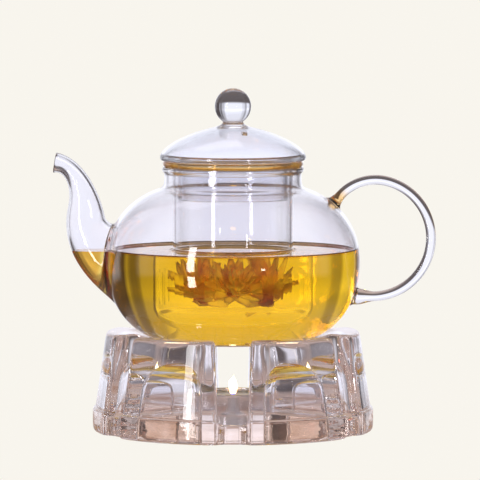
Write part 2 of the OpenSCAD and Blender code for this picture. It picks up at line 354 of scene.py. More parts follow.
def round_the_axis(name: str, piece: bpy.types.Object, count: int) -> bpy.types.Object:
    """Copies a sector round the axis and merges the copies.

    Args:
        name: Name of the whole.
        piece: One sector.
        count: How many sectors make a full turn.

    Returns:
        The whole piece.
    """
    sectors = [piece, *(copy_of(piece, TURN * k / count) for k in range(1, count))]
    whole = joined(name, sectors)
    merge_and_face_out(whole)
    return whole


class Cut(Enum):
    """How one solid changes another."""

    ADD = "UNION"
    TAKE = "DIFFERENCE"


def combine(piece: bpy.types.Object, other: bpy.types.Object, how: Cut) -> None:
    """Adds a solid to a piece or takes it away, and removes the solid.

    Args:
        piece: The piece that changes.
        other: The solid that is used up.
        how: Whether it is added or taken away.
    """
    modifier = piece.modifiers.new("solid", "BOOLEAN")
    modifier.object = other
    modifier.operation = how.value
    modifier.solver = "EXACT"
    pick(piece)
    bpy.ops.object.modifier_apply(modifier=modifier.name)
    bpy.data.objects.remove(other)


def subdivided(piece: bpy.types.Object, levels: int = 1) -> bpy.types.Object:
    """Smooths a piece's surface by subdivision.

    Args:
        piece: The piece to smooth.
        levels: How many times its faces are divided.

    Returns:
        The same piece.
    """
    modifier = piece.modifiers.new("smooth", "SUBSURF")
    modifier.levels = modifier.render_levels = levels
    pick(piece)
    bpy.ops.object.modifier_apply(modifier=modifier.name)
    return piece


def shaded(piece: bpy.types.Object, angle: float | None = None) -> bpy.types.Object:
    """Shades a piece smooth, with edges sharper than an angle kept.

    Args:
        piece: The piece to shade.
        angle: Angle in degrees above which an edge stays sharp, or None.

    Returns:
        The same piece.
    """
    pick(piece)
    if angle is None:
        bpy.ops.object.shade_smooth()
    else:
        bpy.ops.object.shade_smooth_by_angle(angle=math.radians(angle))
    return piece


def placed(piece: bpy.types.Object, body: str, stands_for: Sequence[str] = (),
           materials: Sequence[bpy.types.Material] = ()) -> bpy.types.Object:
    """Gives a finished piece its materials, its body and the nodes it stands for.

    Args:
        piece: The finished piece.
        body: The CAD body that it rides on.
        stands_for: CAD nodes that it replaces.
        materials: Its materials, in the order of their slots.

    Returns:
        The same piece.
    """
    for material in materials:
        piece.data.materials.append(material)
    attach(piece, body)
    if stands_for:
        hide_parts(*stands_for)
    triangles = sum(len(face.vertices) - 2 for face in piece.data.polygons)
    log.info("%s rides on %s, %d triangles", piece.name, body, triangles)
    return piece


# ---------------------------------------------------------------- shader nodes


class Sock:
    """A node's output with arithmetic, so that shader maths reads as an expression."""

    def __init__(self, nodes: "Nodes", socket: bpy.types.NodeSocket) -> None:
        """Wraps an output socket of one node tree."""
        self.nodes = nodes
        self.socket = socket

    def math(self, operation: str, *values: Any) -> "Sock":
        """Returns the output of a Math node on these values."""
        inputs = dict(enumerate(values))
        return self.nodes.add("ShaderNodeMath", {"operation": operation}, inputs).out(0)

    def __add__(self, other: Any) -> "Sock":
        """Returns self + other."""
        return self.math("ADD", self, other)

    __radd__ = __add__

    def __sub__(self, other: Any) -> "Sock":
        """Returns self - other."""
        return self.math("SUBTRACT", self, other)

    def __rsub__(self, other: Any) -> "Sock":
        """Returns other - self."""
        return self.math("SUBTRACT", other, self)

    def __mul__(self, other: Any) -> "Sock":
        """Returns self * other."""
        return self.math("MULTIPLY", self, other)

    __rmul__ = __mul__

    def __truediv__(self, other: Any) -> "Sock":
        """Returns self / other."""
        return self.math("DIVIDE", self, other)

    def __rtruediv__(self, other: Any) -> "Sock":
        """Returns other / self."""
        return self.math("DIVIDE", other, self)

    def __pow__(self, other: Any) -> "Sock":
        """Returns self ** other."""
        return self.math("POWER", self, other)

    def __abs__(self) -> "Sock":
        """Returns the value without its sign."""
        return self.math("ABSOLUTE", self)

    def held(self, low: float = 0.0, high: float = 1.0) -> "Sock":
        """Returns the value kept between two limits."""
        return self.math("MINIMUM", self.math("MAXIMUM", self, low), high)

    def step(self, low: float, high: float) -> "Sock":
        """Returns 0 at low, 1 at high and a smooth step between them."""
        t = ((self - low) / (high - low)).held()
        return t * t * (3 - 2 * t)


class Made:
    """A node that was just made."""

    def __init__(self, nodes: "Nodes", node: bpy.types.Node) -> None:
        """Keeps a node with the tree that it belongs to."""
        self.nodes = nodes
        self.node = node

    def out(self, key: int | str = 0) -> Sock:
        """Returns one of the node's outputs, by its place or its name."""
        return Sock(self.nodes, self.node.outputs[key])


class Nodes:
    """A node tree that is empty at first, and the one method that adds a node to it."""

    def __init__(self, tree: bpy.types.NodeTree) -> None:
        """Empties the tree."""
        self.tree = tree
        tree.nodes.clear()

    def add(self, kind: str, settings: dict[str, Any] | None = None,
            inputs: dict[int | str, Any] | None = None) -> Made:
        """Adds a node, sets it and feeds its sockets.

        Args:
            kind: The node's type name.
            settings: Its properties, which are set first; "stops" holds a ramp's stops.
            inputs: Values or links of its input sockets, by place or name.

        Returns:
            The node.
        """
        node = self.tree.nodes.new(kind)
        for key, value in (settings or {}).items():
            if key == "stops":
                self.set_stops(node.color_ramp, value)
            else:
                setattr(node, key, value)
        for key, value in (inputs or {}).items():
            socket = node.inputs[key]
            if isinstance(value, Sock):
                self.tree.links.new(value.socket, socket)
            elif isinstance(value, tuple) and len(value) == 3 and socket.type == "RGBA":
                socket.default_value = (*value, 1.0)
            else:
                socket.default_value = value
        return Made(self, node)

    @staticmethod
    def set_stops(ramp: bpy.types.ColorRamp, stops: Sequence[tuple[float, Colour]]) -> None:
        """Lays the stops of a colour ramp.

        Args:
            ramp: The ramp.
            stops: Place and colour of each stop, in order.
        """
        while len(ramp.elements) > 1:
            ramp.elements.remove(ramp.elements[-1])
        for i, (place, colour) in enumerate(stops):
            stop = ramp.elements[0] if i == 0 else ramp.elements.new(place)
            stop.position = place
            stop.color = (*colour, 1.0)

    def place(self) -> Sock:
        """Returns the object's own coordinates, in metres."""
        return self.add("ShaderNodeTexCoord").out("Object")

    def axis(self, name: str) -> Sock:
        """Returns one of the object's own coordinates: "X", "Y" or "Z"."""
        return self.add("ShaderNodeSeparateXYZ", None, {0: self.place()}).out(name)

    def noise(self, scale: float, detail: float = 2.0, roughness: float = 0.5,
              stretch: Spot | None = None) -> Sock:
        """Noise on the object's own coordinates.

        Args:
            scale: Waves to the metre.
            detail: Number of finer layers.
            roughness: Share of the finer layers.
            stretch: Scale along each axis, where it isn't even.

        Returns:
            The noise's value.
        """
        vector = self.place()
        if stretch:
            inputs = {"Vector": vector, "Scale": stretch}
            vector = self.add("ShaderNodeMapping", None, inputs).out()
        inputs = {"Vector": vector, "Scale": scale, "Detail": detail, "Roughness": roughness}
        return self.add("ShaderNodeTexNoise", None, inputs).out("Fac")

    def ramp(self, value: Sock, stops: Sequence[tuple[float, Colour]]) -> Sock:
        """Returns the colour that a ramp gives for a value."""
        return self.add("ShaderNodeValToRGB", {"stops": stops}, {"Fac": value}).out("Color")

    def mix(self, factor: Any, a: Any, b: Any) -> Sock:
        """Returns a mix of two colours."""
        inputs = {0: factor, 6: a, 7: b}
        return self.add("ShaderNodeMix", {"data_type": "RGBA"}, inputs).out(2)

    def bump(self, height: Sock, depth: float, strength: float = 1.0) -> Sock:
        """Returns a normal disturbed by a height map of a depth in metres."""
        inputs = {"Height": height, "Distance": depth, "Strength": strength}
        return self.add("ShaderNodeBump", None, inputs).out("Normal")

    def absorption(self, colour: Colour, density: float) -> Sock:
        """Returns a volume that takes up light on the way through it."""
        inputs = {"Color": colour, "Density": density}
        return self.add("ShaderNodeVolumeAbsorption", None, inputs).out()

    def emission(self, colour: Any) -> Sock:
        """Returns a shader that gives off an even light of strength 1."""
        return self.add("ShaderNodeEmission", None, {"Color": colour, "Strength": 1.0}).out()

    def blend(self, factor: Sock, a: Sock, b: Sock) -> Sock:
        """Returns a mix of two shaders."""
        return self.add("ShaderNodeMixShader", None, {0: factor, 1: a, 2: b}).out()


class Material:
    """A new material with a Principled surface."""

    def __init__(self, name: str) -> None:
        """Makes the material and empties its node tree."""
        self.material = bpy.data.materials.new(name)
        self.material.use_nodes = True
        self.nodes = Nodes(self.material.node_tree)

    def surface(self, **inputs: Any) -> Sock:
        """Returns a Principled surface with these sockets, named with _ for spaces."""
        named = {key.replace("_", " "): value for key, value in inputs.items()}
        return self.nodes.add("ShaderNodeBsdfPrincipled", None, named).out()

    def finished(self, surface: Sock, volume: Sock | None = None) -> bpy.types.Material:
        """Links the surface and the volume to the output.

        Args:
            surface: The surface's shader.
            volume: The volume's shader, if it has one.

        Returns:
            The material.
        """
        inputs = {"Surface": surface}
        if volume:
            inputs["Volume"] = volume
        self.nodes.add("ShaderNodeOutputMaterial", None, inputs)
        return self.material


# ---------------------------------------------------------------- finishes


@dataclass(frozen=True)
class Glass:
    """Clear glass, slightly uneven where it was pressed or blown."""

    name: str
    tint: Colour = (0.985, 0.985, 0.995)
    shade: Colour = (0.96, 0.96, 0.985)
    ior: float = 1.47
    roughness: float = 0.0
    waves: float = 45.0
    wave_depth: float = 0.00002
    stretch: Spot = (1.0, 1.0, 0.35)
    patches: Point = (0.35, 0.65)  # noise values where the tint gives way to the shade
    thickness_density: float = 0.0
    thickness_colour: Colour = (0.8, 0.8, 0.9)

    def colour(self, n: Nodes, wave: Sock) -> Sock:
        """Returns the colour of the glass, which follows its waves."""
        return n.mix(wave.step(*self.patches), self.tint, self.shade)

    def make(self) -> bpy.types.Material:
        """Returns the material."""
        m = Material(self.name)
        n = m.nodes
        wave = n.noise(self.waves, 2.0, 0.45, self.stretch)
        surface = m.surface(
            Base_Color=self.colour(n, wave),
            Roughness=self.roughness,
            IOR=self.ior,
            Transmission_Weight=1.0,
            Normal=n.bump(wave, self.wave_depth),
        )
        if self.thickness_density == 0:
            return m.finished(surface)
        return m.finished(surface, n.absorption(self.thickness_colour, self.thickness_density))


@dataclass(frozen=True)
class BlownGlass(Glass):
    """Blown glass with an amber glow in the weld of the handle."""

    weld: Spot = (0.0, 0.0, 0.0)
    weld_reach: Point = (0.003, 0.0096)  # where the glow starts to fade, and where it ends
    weld_colour: Colour = (1.0, 0.66, 0.28)

    def colour(self, n: Nodes, wave: Sock) -> Sock:
        """Returns the colour of the glass, amber near the weld."""
        inputs = {0: n.place(), 1: self.weld}
        away = n.add("ShaderNodeVectorMath", {"operation": "DISTANCE"}, inputs).out("Value")
        return n.mix(1 - away.step(*self.weld_reach), super().colour(n, wave), self.weld_colour)


@dataclass(frozen=True)
class TeaLiquid:
    """Chrysanthemum tea, amber through its depth, with painted shade along its top surface and in
    the spout.
    """

    name: str = "chrysanthemum_tea"
    density: float = 38.0
    colour: Colour = (0.999, 0.895, 0.05)
    pale: Colour = (1.0, 0.91, 0.52)
    deep: Colour = (1.0, 0.88, 0.44)
    # Painted shade: a browner colour for the tea's top surface.
    painted_top_shade: Colour = (0.86, 0.66, 0.34)
    # Painted shade: a deeper amber for the tea in the spout.
    painted_spout_shade: Colour = (0.8, 0.5, 0.12)
    spout_from: float = 0.0655
    spout_fade: float = 0.003
    top: float = 0.0925

    def make(self) -> bpy.types.Material:
        """Returns the material."""
        m = Material(self.name)
        n = m.nodes
        # Painted shade: where the deeper amber of the spout lies.
        spout_shade_mask = (0 - n.axis("X")).step(self.spout_from, self.spout_from + self.spout_fade)
        # Painted shade: where the browner band along the top surface lies.
        top_shade_mask = n.axis("Z").step(self.top - 0.0006, self.top - 0.0002)
        swirl = n.mix(n.noise(30.0, 2.0).step(0.3, 0.7), self.pale, self.deep)
        surface = m.surface(
            Base_Color=n.mix(spout_shade_mask, n.mix(top_shade_mask, swirl, self.painted_top_shade), self.painted_spout_shade),
            Roughness=0.0,
            IOR=1.33,
            Transmission_Weight=1.0,
        )
        return m.finished(surface, n.absorption(self.colour, self.density))


@dataclass(frozen=True)
class CupMetal:
    """Drawn aluminium with faint upright marks from the press."""

    name: str = "drawn_aluminium"
    bright: Colour = (0.9, 0.88, 0.9)
    scuffed: Colour = (0.78, 0.76, 0.8)
    roughness: Point = (0.14, 0.14)  # the least, and what the scuffs add

    def make(self) -> bpy.types.Material:
        """Returns the material."""
        m = Material(self.name)
        n = m.nodes
        marks = n.noise(900.0, 2.0, 0.6, (1.0, 1.0, 0.03))
        scuffs = n.noise(260.0, 3.0, 0.6)
        surface = m.surface(
            Base_Color=n.mix(scuffs.step(0.35, 0.7), self.bright, self.scuffed),
            Metallic=1.0,
            Roughness=self.roughness[0] + self.roughness[1] * scuffs,
            Normal=n.bump(marks, 0.00004),
        )
        return m.finished(surface)


@dataclass(frozen=True)
class CandleWax:
    """White paraffin with a clear melted pool round the wick."""

    name: str = "paraffin_wax"
    pool: float = 0.0115
    pool_fade: float = 0.0025
    solid: Colour = (0.93, 0.91, 0.88)
    liquid: Colour = (0.97, 0.88, 0.72)

    def make(self) -> bpy.types.Material:
        """Returns the material."""
        m = Material(self.name)
        n = m.nodes
        x, y = n.axis("X"), n.axis("Y")
        away = x.math("SQRT", x ** 2 + y ** 2) + 0.002 * n.noise(300.0)
        melted = 1 - away.step(self.pool, self.pool + self.pool_fade)
        grain = n.noise(700.0, 3.0)
        surface = m.surface(
            Base_Color=n.mix(melted, self.solid, self.liquid),
            Roughness=0.42 - 0.36 * melted,
            Subsurface_Weight=0.35,
            Subsurface_Radius=(1.0, 0.8, 0.6),
            Subsurface_Scale=0.003,
            Normal=n.bump(grain * (1 - melted), 0.00005),
        )
        return m.finished(surface)


@dataclass(frozen=True)
class WickCotton:
    """Braided cotton, charred towards its tip."""

    name: str = "charred_wick"
    burnt_from: float = 0.0175
    burnt_to: float = 0.0192
    cotton: Colour = (0.78, 0.72, 0.62)
    charred: Colour = (0.03, 0.02, 0.015)
    cold: Colour = (0.0, 0.0, 0.0)
    ember: Colour = (1.0, 0.25, 0.04)

    def make(self) -> bpy.types.Material:
        """Returns the material."""
        m = Material(self.name)
        n = m.nodes
        z = n.axis("Z")
        burnt = z.step(self.burnt_from, self.burnt_to)
        braid = n.add(
            "ShaderNodeTexWave", {"bands_direction": "DIAGONAL"},
            {"Vector": n.place(), "Scale": 420.0, "Distortion": 1.5},
        ).out("Fac")
        glow = z.step(self.burnt_to + 0.001, self.burnt_to + 0.003)
        surface = m.surface(
            Base_Color=n.mix(burnt, self.cotton, self.charred),
            Roughness=0.85,
            Emission_Color=n.mix(glow * braid, self.cold, self.ember),
            Emission_Strength=1.5,
            Normal=n.bump(braid, 0.00012),
        )
        return m.finished(surface)


@dataclass(frozen=True)
class FlameGlow:
    """A candle flame: blue at its foot, white in the middle and yellow at the tip."""

    name: str = "candle_flame"
    low: float = 0.0185
    high: float = 0.0285
    strength: float = 6.0
    stops: tuple[tuple[float, Colour], ...] = (
        (0.0, (0.12, 0.16, 0.5)),
        (0.16, (1.0, 0.42, 0.1)),
        (0.34, (1.0, 0.83, 0.5)),
        (0.7, (1.0, 0.88, 0.62)),
        (1.0, (1.0, 0.62, 0.2)),
    )

    def make(self) -> bpy.types.Material:
        """Returns the material."""
        m = Material(self.name)
        n = m.nodes
        z = n.axis("Z")
        up = ((z - self.low) / (self.high - self.low)).held()
        surface = m.surface(
            Base_Color=(0.0, 0.0, 0.0),
            Roughness=1.0,
            Specular_IOR_Level=0.0,
            Emission_Color=n.ramp(up, self.stops),
            Emission_Strength=self.strength,
        )
        return m.finished(surface)


@dataclass(frozen=True)
class Petal:
    """A steeped petal: thin, veined and browned in blotches, with a faint painted glow that stands
    in for the light the glass and tea keep from it.
    """

    name: str
    light: Colour = (1.0, 0.95, 0.75)
    dark: Colour = (1.0, 0.8, 0.42)
    # Strength of the painted light: the petals glow faintly in place of the light that cannot
    # reach them through the glass and tea.
    glow: float = 0.07
    painted_light_dim: Colour = (0.25, 0.1, 0.01)
    painted_light_bright: Colour = (1.0, 0.7, 0.13)

    def make(self) -> bpy.types.Material:
        """Returns the material."""
        m = Material(self.name)
        n = m.nodes
        blotch = n.noise(160.0, 3.0, 0.6)
        veins = n.noise(1400.0, 2.0, 0.5, (1.0, 1.0, 0.2))
        colour = n.mix(blotch.step(0.36, 0.66), self.dark, self.light)
        surface = m.surface(
            Base_Color=n.mix(veins.step(0.45, 0.7) * 0.35, colour, self.dark),
            Roughness=0.5,
            IOR=1.1,
            Transmission_Weight=0.9,
            # Painted light: a faint glow, brighter where the petal is pale.
            Emission_Color=n.mix(blotch.step(0.4, 0.65), self.painted_light_dim, self.painted_light_bright),
            Emission_Strength=self.glow,
            Normal=n.bump(veins, 0.00015),
        )
        return m.finished(surface)


# ---------------------------------------------------------------- warmer stand


LOBES = 6
HALF_LOBE = math.radians(30)


@dataclass
class Stand:
    """The pressed-glass warmer stand: a disc and six hollow lobes, modelled as one sector."""

    height: float = 51.0
    base_height: float = 12.5
    base_radius: float = 71.9
    lobe_foot: float = 70.4
    lobe_top: float = 64.9
    slot_half: float = 7.5
    slot_floor: float = 10.0
    well: float = 21.5
    wall: float = 7.0
    draft: float = 1.3
    recess: float = 20.0
    recess_floor: float = 8.45
    dish_flat: float = 35.5
    dish_mouth: float = 51.5
    seat: float = 45.45
    hollow_start: float = 33.0
    hollow_spring: float = 23.0
    hollow_crown: float = 38.0
    notch_radius: float = 8.0
    notch_out: float = 77.0
    middle: float = 46.0  # from the axis to the middle of a lobe
    sharpness: float = 18.0  # how tight a lobe's upright corners are

    def directions(self) -> list[float]:
        """Returns the directions from a lobe's middle, closer together at its corners."""
        spans = ((0, 44, 6), (44, self.corner(), 9), (self.corner(), 100, 6), (100, 158, 8),
                 (158, 180, 7))
        half = [0.0]
        for low, high, steps in spans:
            half += [low + (high - low) * i / steps for i in range(1, steps + 1)]
        return half + [360 - a for a in reversed(half[1:-1])]

    def corner(self) -> float:
        """Returns the direction of the sector's outer corner, in degrees."""
        rim = self.notch_out - self.notch_radius
        return math.degrees(math.atan2(
            rim * math.sin(HALF_LOBE), rim * math.cos(HALF_LOBE) - self.middle))

    def rim(self, polar: float) -> float:
        """Returns the disc's radius at an angle from the lobe's middle, notch included."""
        off = self.notch_out * math.sin(HALF_LOBE - abs(polar))
        if abs(off) >= self.notch_radius:
            return self.base_radius
        along = self.notch_out * math.cos(HALF_LOBE - abs(polar))
        notch = along - math.sqrt(self.notch_radius ** 2 - off ** 2)
        power = 24.0
        return (notch ** -power + self.base_radius ** -power) ** (-1 / power)

    def reach(self, turn: float, offset: float, outer: float, inner: float,
              round_well: bool = True) -> float:
        """Distance from a lobe's middle to its outline.

        Args:
            turn: Direction, in radians.
            offset: How far the walls stand in from the sector's sides.
            outer: Radius of the outer face.
            inner: Radius of the well, or distance of the flat inner face.
            round_well: Whether the inner face is round.

        Returns:
            The distance, in millimetres, with rounded corners.
        """
        cosine, sine = math.cos(turn), math.sin(turn)
        hits = []
        for side in (1, -1):
            slope = side * sine * math.cos(HALF_LOBE) - cosine * math.sin(HALF_LOBE)
            if slope > 0.01:
                hits.append((self.middle * math.sin(HALF_LOBE) - offset) / slope)
        along = self.middle * cosine
        hits.append(-along + math.sqrt(along ** 2 + outer ** 2 - self.middle ** 2))
        if round_well:
            inside_well = along ** 2 + inner ** 2 - self.middle ** 2
            if cosine < 0 and inside_well > 0:
                hits.append(-along - math.sqrt(inside_well))
        elif cosine < -0.01:
            hits.append((self.middle - inner) / -cosine)
        return sum(h ** -self.sharpness for h in hits) ** (-1 / self.sharpness)

    def sector(self, degrees: float, inset: float) -> float:
        """Distance from a lobe's middle to the edge of its sector of the disc.

        Args:
            degrees: Direction.
            inset: How far the rim is moved in.

        Returns:
            The distance, in millimetres.
        """
        turn = math.radians(min(degrees, 360 - degrees))
        cosine, sine = math.cos(turn), math.sin(turn)
        slope = sine * math.cos(HALF_LOBE) - cosine * math.sin(HALF_LOBE)
        side = self.middle * math.sin(HALF_LOBE) / slope if slope > 0.01 else 1000.0
        far = self.base_radius - inset
        along = self.middle * cosine
        for _ in range(6):
            distance = -along + math.sqrt(along ** 2 + far ** 2 - self.middle ** 2)
            polar = math.atan2(distance * sine, self.middle + distance * cosine)
            far = self.rim(min(polar, HALF_LOBE)) - inset
        return min(side, distance)

    def edge_spot(self, degrees: float, inset: float) -> Point:
        """Returns a point of the sector's edge, with its outer corner kept on the side."""
        if abs(min(degrees, 360 - degrees) - self.corner()) < 1e-6:
            far = self.notch_out - self.notch_radius - inset
            side = 1 if degrees < 180 else -1
            return (far * math.cos(HALF_LOBE), side * far * math.sin(HALF_LOBE))
        return self.spot(degrees, self.sector(degrees, inset))

    def spot(self, degrees: float, distance: float) -> Point:
        """Returns the point at a distance from the lobe's middle."""
        turn = math.radians(degrees)
        return (self.middle + distance * math.cos(turn), distance * math.sin(turn))

    def dish(self, spot: Point) -> float:
        """Returns the height of the stand's top, with the dish that the pot sits in."""
        t = (math.hypot(*spot) - self.dish_flat) / (self.dish_mouth - self.dish_flat)
        soft = 0.05
        t = 0.5 * (t + math.sqrt(t * t + soft ** 2)) - 0.5 * soft
        t = 1 - 0.5 * ((1 - t) + math.sqrt((1 - t) ** 2 + soft ** 2)) + 0.5 * soft
        return self.seat + (self.height - self.seat) * max(0.0, min(1.0, t))

    def ledge(self, spot: Point) -> float:
        """Returns the height of the disc's top, lower in the slots."""
        x, y = spot[0], abs(spot[1])
        from_side = abs(x * math.sin(HALF_LOBE) - y * math.cos(HALF_LOBE))
        raised_part = blend_between(6.0, 8.4, from_side) * blend_between(58, 64, math.hypot(x, y))
        return self.slot_floor + (self.base_height - self.slot_floor) * raised_part

    def path(self, degrees: float) -> list[Spot]:
        """The skin's line in one direction, from the hollow's crown to the middle of the top.

        Args:
            degrees: Direction from the lobe's middle.

        Returns:
            Points in millimetres.
        """
        turn = math.radians(degrees)
        lean = (self.lobe_foot - self.lobe_top) / (self.height - self.base_height)

        def hollow(z: float) -> float:
            """Returns the reach of the hollow at a height."""
            outer = self.lobe_foot - lean * (z - self.base_height) - self.wall
            return self.reach(turn, self.slot_half + self.wall, outer, self.hollow_start, False)

        def lobe(z: float) -> float:
            """Returns the reach of the lobe's outside at a height."""
            up = (z - self.slot_floor) / (self.height - self.slot_floor)
            outer = self.lobe_foot - lean * (z - self.base_height)
            return self.reach(turn, self.slot_half + self.draft * up, outer, self.well)

        line: list[Spot] = []

        def lay(distance: float, z: float) -> None:
            """Adds a point at a distance and a height."""
            line.append((*self.spot(degrees, distance), z))

        rise = self.hollow_crown - self.hollow_spring
        for angle in (90, 78, 64, 50, 35, 18):
            swing = math.radians(angle)
            lay(hollow(self.hollow_spring) * math.cos(swing) ** 0.75 if angle < 90 else 0.0,
                self.hollow_spring + rise * math.sin(swing))
        for z in (self.hollow_spring, 17.5, 12.0, 6.5, 2.2):
            lay(hollow(z), z)
        mouth = hollow(0.0)
        lay(mouth + 0.4, 0.7)
        lay(mouth + 1.6, 0.0)
        edge = self.sector(degrees, 2.2)
        lay(mouth + 1.6 + (edge - mouth - 1.6) * 0.5, 0.0)
        for inset, share, lift in ((2.2, 0, 0.0), (0.7, 0, 0.6), (0.0, 0, 2.0), (0.0, 0.5, 0.0),
                                   (0.0, 1, -1.3), (0.35, 1, -0.4), (1.2, 1, 0.0)):
            spot = self.edge_spot(degrees, inset)
            floor = self.recess_floor if math.hypot(*spot) < self.recess else self.ledge(spot)
            line.append((*spot, floor * share + lift))
        edge = self.sector(degrees, 1.2)
        foot_spot = self.spot(degrees, lobe(self.slot_floor))
        foot_z = self.ledge(foot_spot)
        foot = lobe(foot_z)
        outward = min(1.0, max(0.15, (edge - foot) / 3))
        line += self.floor_points(degrees, edge, foot + outward)
        lay(foot + 0.3 * outward, foot_z + 0.3)
        lay(foot, foot_z + 1.1)
        top = self.dish(self.spot(degrees, lobe(self.height)))
        for share in (0.16, 0.36, 0.56, 0.76, 0.92):
            z = foot_z + 1.1 + (top - foot_z - 2.6) * share
            lay(lobe(z), z)
        brim = lobe(top)
        for inset, lift in ((0.0, -1.3), (0.4, -0.4), (1.5, 0.0)):
            spot = self.spot(degrees, brim - inset)
            line.append((*spot, self.dish(spot) + lift))
        for share in (0.88, 0.74, 0.58, 0.4, 0.2, 0.0):
            spot = self.spot(degrees, (brim - 1.5) * share)
            line.append((*spot, self.dish(spot)))
        return line

    def floor_points(self, degrees: float, edge: float, foot: float) -> list[Spot]:
        """Points across the floor of a slot and the well, with the step of the recess.

        Args:
            degrees: Direction from the lobe's middle.
            edge: Distance of the sector's edge.
            foot: Distance at which the lobe's foot starts.

        Returns:
            Six points in millimetres, from the edge inwards.
        """
        turn = math.radians(degrees)
        along = self.middle * math.cos(turn)
        room = along ** 2 + self.recess ** 2 - self.middle ** 2
        step = -along - math.sqrt(room) if along < 0 and room > 0 else None
        if step is None or not foot + 0.4 < step < edge - 0.4:
            distances = [edge + (foot - edge) * i / 6 for i in range(1, 7)]
            spots = [self.spot(degrees, d) for d in distances]
            return [
                (*s, self.recess_floor if math.hypot(*s) < self.recess else self.ledge(s))
                for s in spots
            ]
        low, high = self.recess_floor, self.slot_floor
        places = (
            (edge + (step - edge) * 0.5, low), (step + 0.45, low), (step + 0.1, low + 0.15),
            (step + 0.02, high - 0.25), (step - 0.25, high), (foot, high),
        )
        return [(*self.spot(degrees, d), z) for d, z in places]

    def build(self) -> bpy.types.Object:
        """Builds one sector and copies it round the axis.

        Returns:
            The stand.
        """
        lines = [self.path(degrees) for degrees in self.directions()]
        rings = [[line[i] for line in lines] for i in range(len(lines[0]))]
        sector = lofted("stand_sector", rings)
        normal = Vector((-math.sin(HALF_LOBE), math.cos(HALF_LOBE), 0))

        def on_side(place: Vector) -> bool:
            """Tells whether a place lies on a side of the sector."""
            return abs(normal.dot((place.x, abs(place.y), 0))) < 1e-7

        with editing(sector):
            choose(sector, "FACE", lambda f: all(on_side(v.co) for v in f.verts))
            bpy.ops.mesh.delete(type="FACE")
        return round_the_axis("warmer_stand", sector, LOBES)

    def dress(self, stand: bpy.types.Object) -> None:
        """Smooths the stand and gives it its glass."""
        shaded(subdivided(stand))
        # The disc's lower side faces get a browner glass than the lobes: painted brown that stands
        # in for the floor seen through the foot.
        for face in stand.data.polygons:
            low = face.center.z < (self.base_height - 1.2) * MM
            face.material_index = 1 if low and abs(face.normal.z) < 0.8 else 0
        depth = {"thickness_density": 2.2, "thickness_colour": (0.7, 0.36, 0.26)}
        glass = Glass("pressed_glass", waves=60.0, wave_depth=0.00007,
                      stretch=(1.0, 1.0, 0.5), **depth)
        # Painted reflection: a browner tint and shade in swirls, for the floor seen through the
        # glass.
        foot = Glass("pressed_glass_foot_painted_reflection", tint=(0.97, 0.91, 0.87), shade=(0.84, 0.74, 0.66),
                     waves=85.0, wave_depth=0.00018, stretch=(1.0, 1.0, 2.6), **depth)
        nodes = ["stand_base", *(f"stand_lobe_{k}" for k in range(1, LOBES + 1))]
        placed(stand, "stand", nodes, [glass.make(), foot.make()])


# ---------------------------------------------------------------- tealight


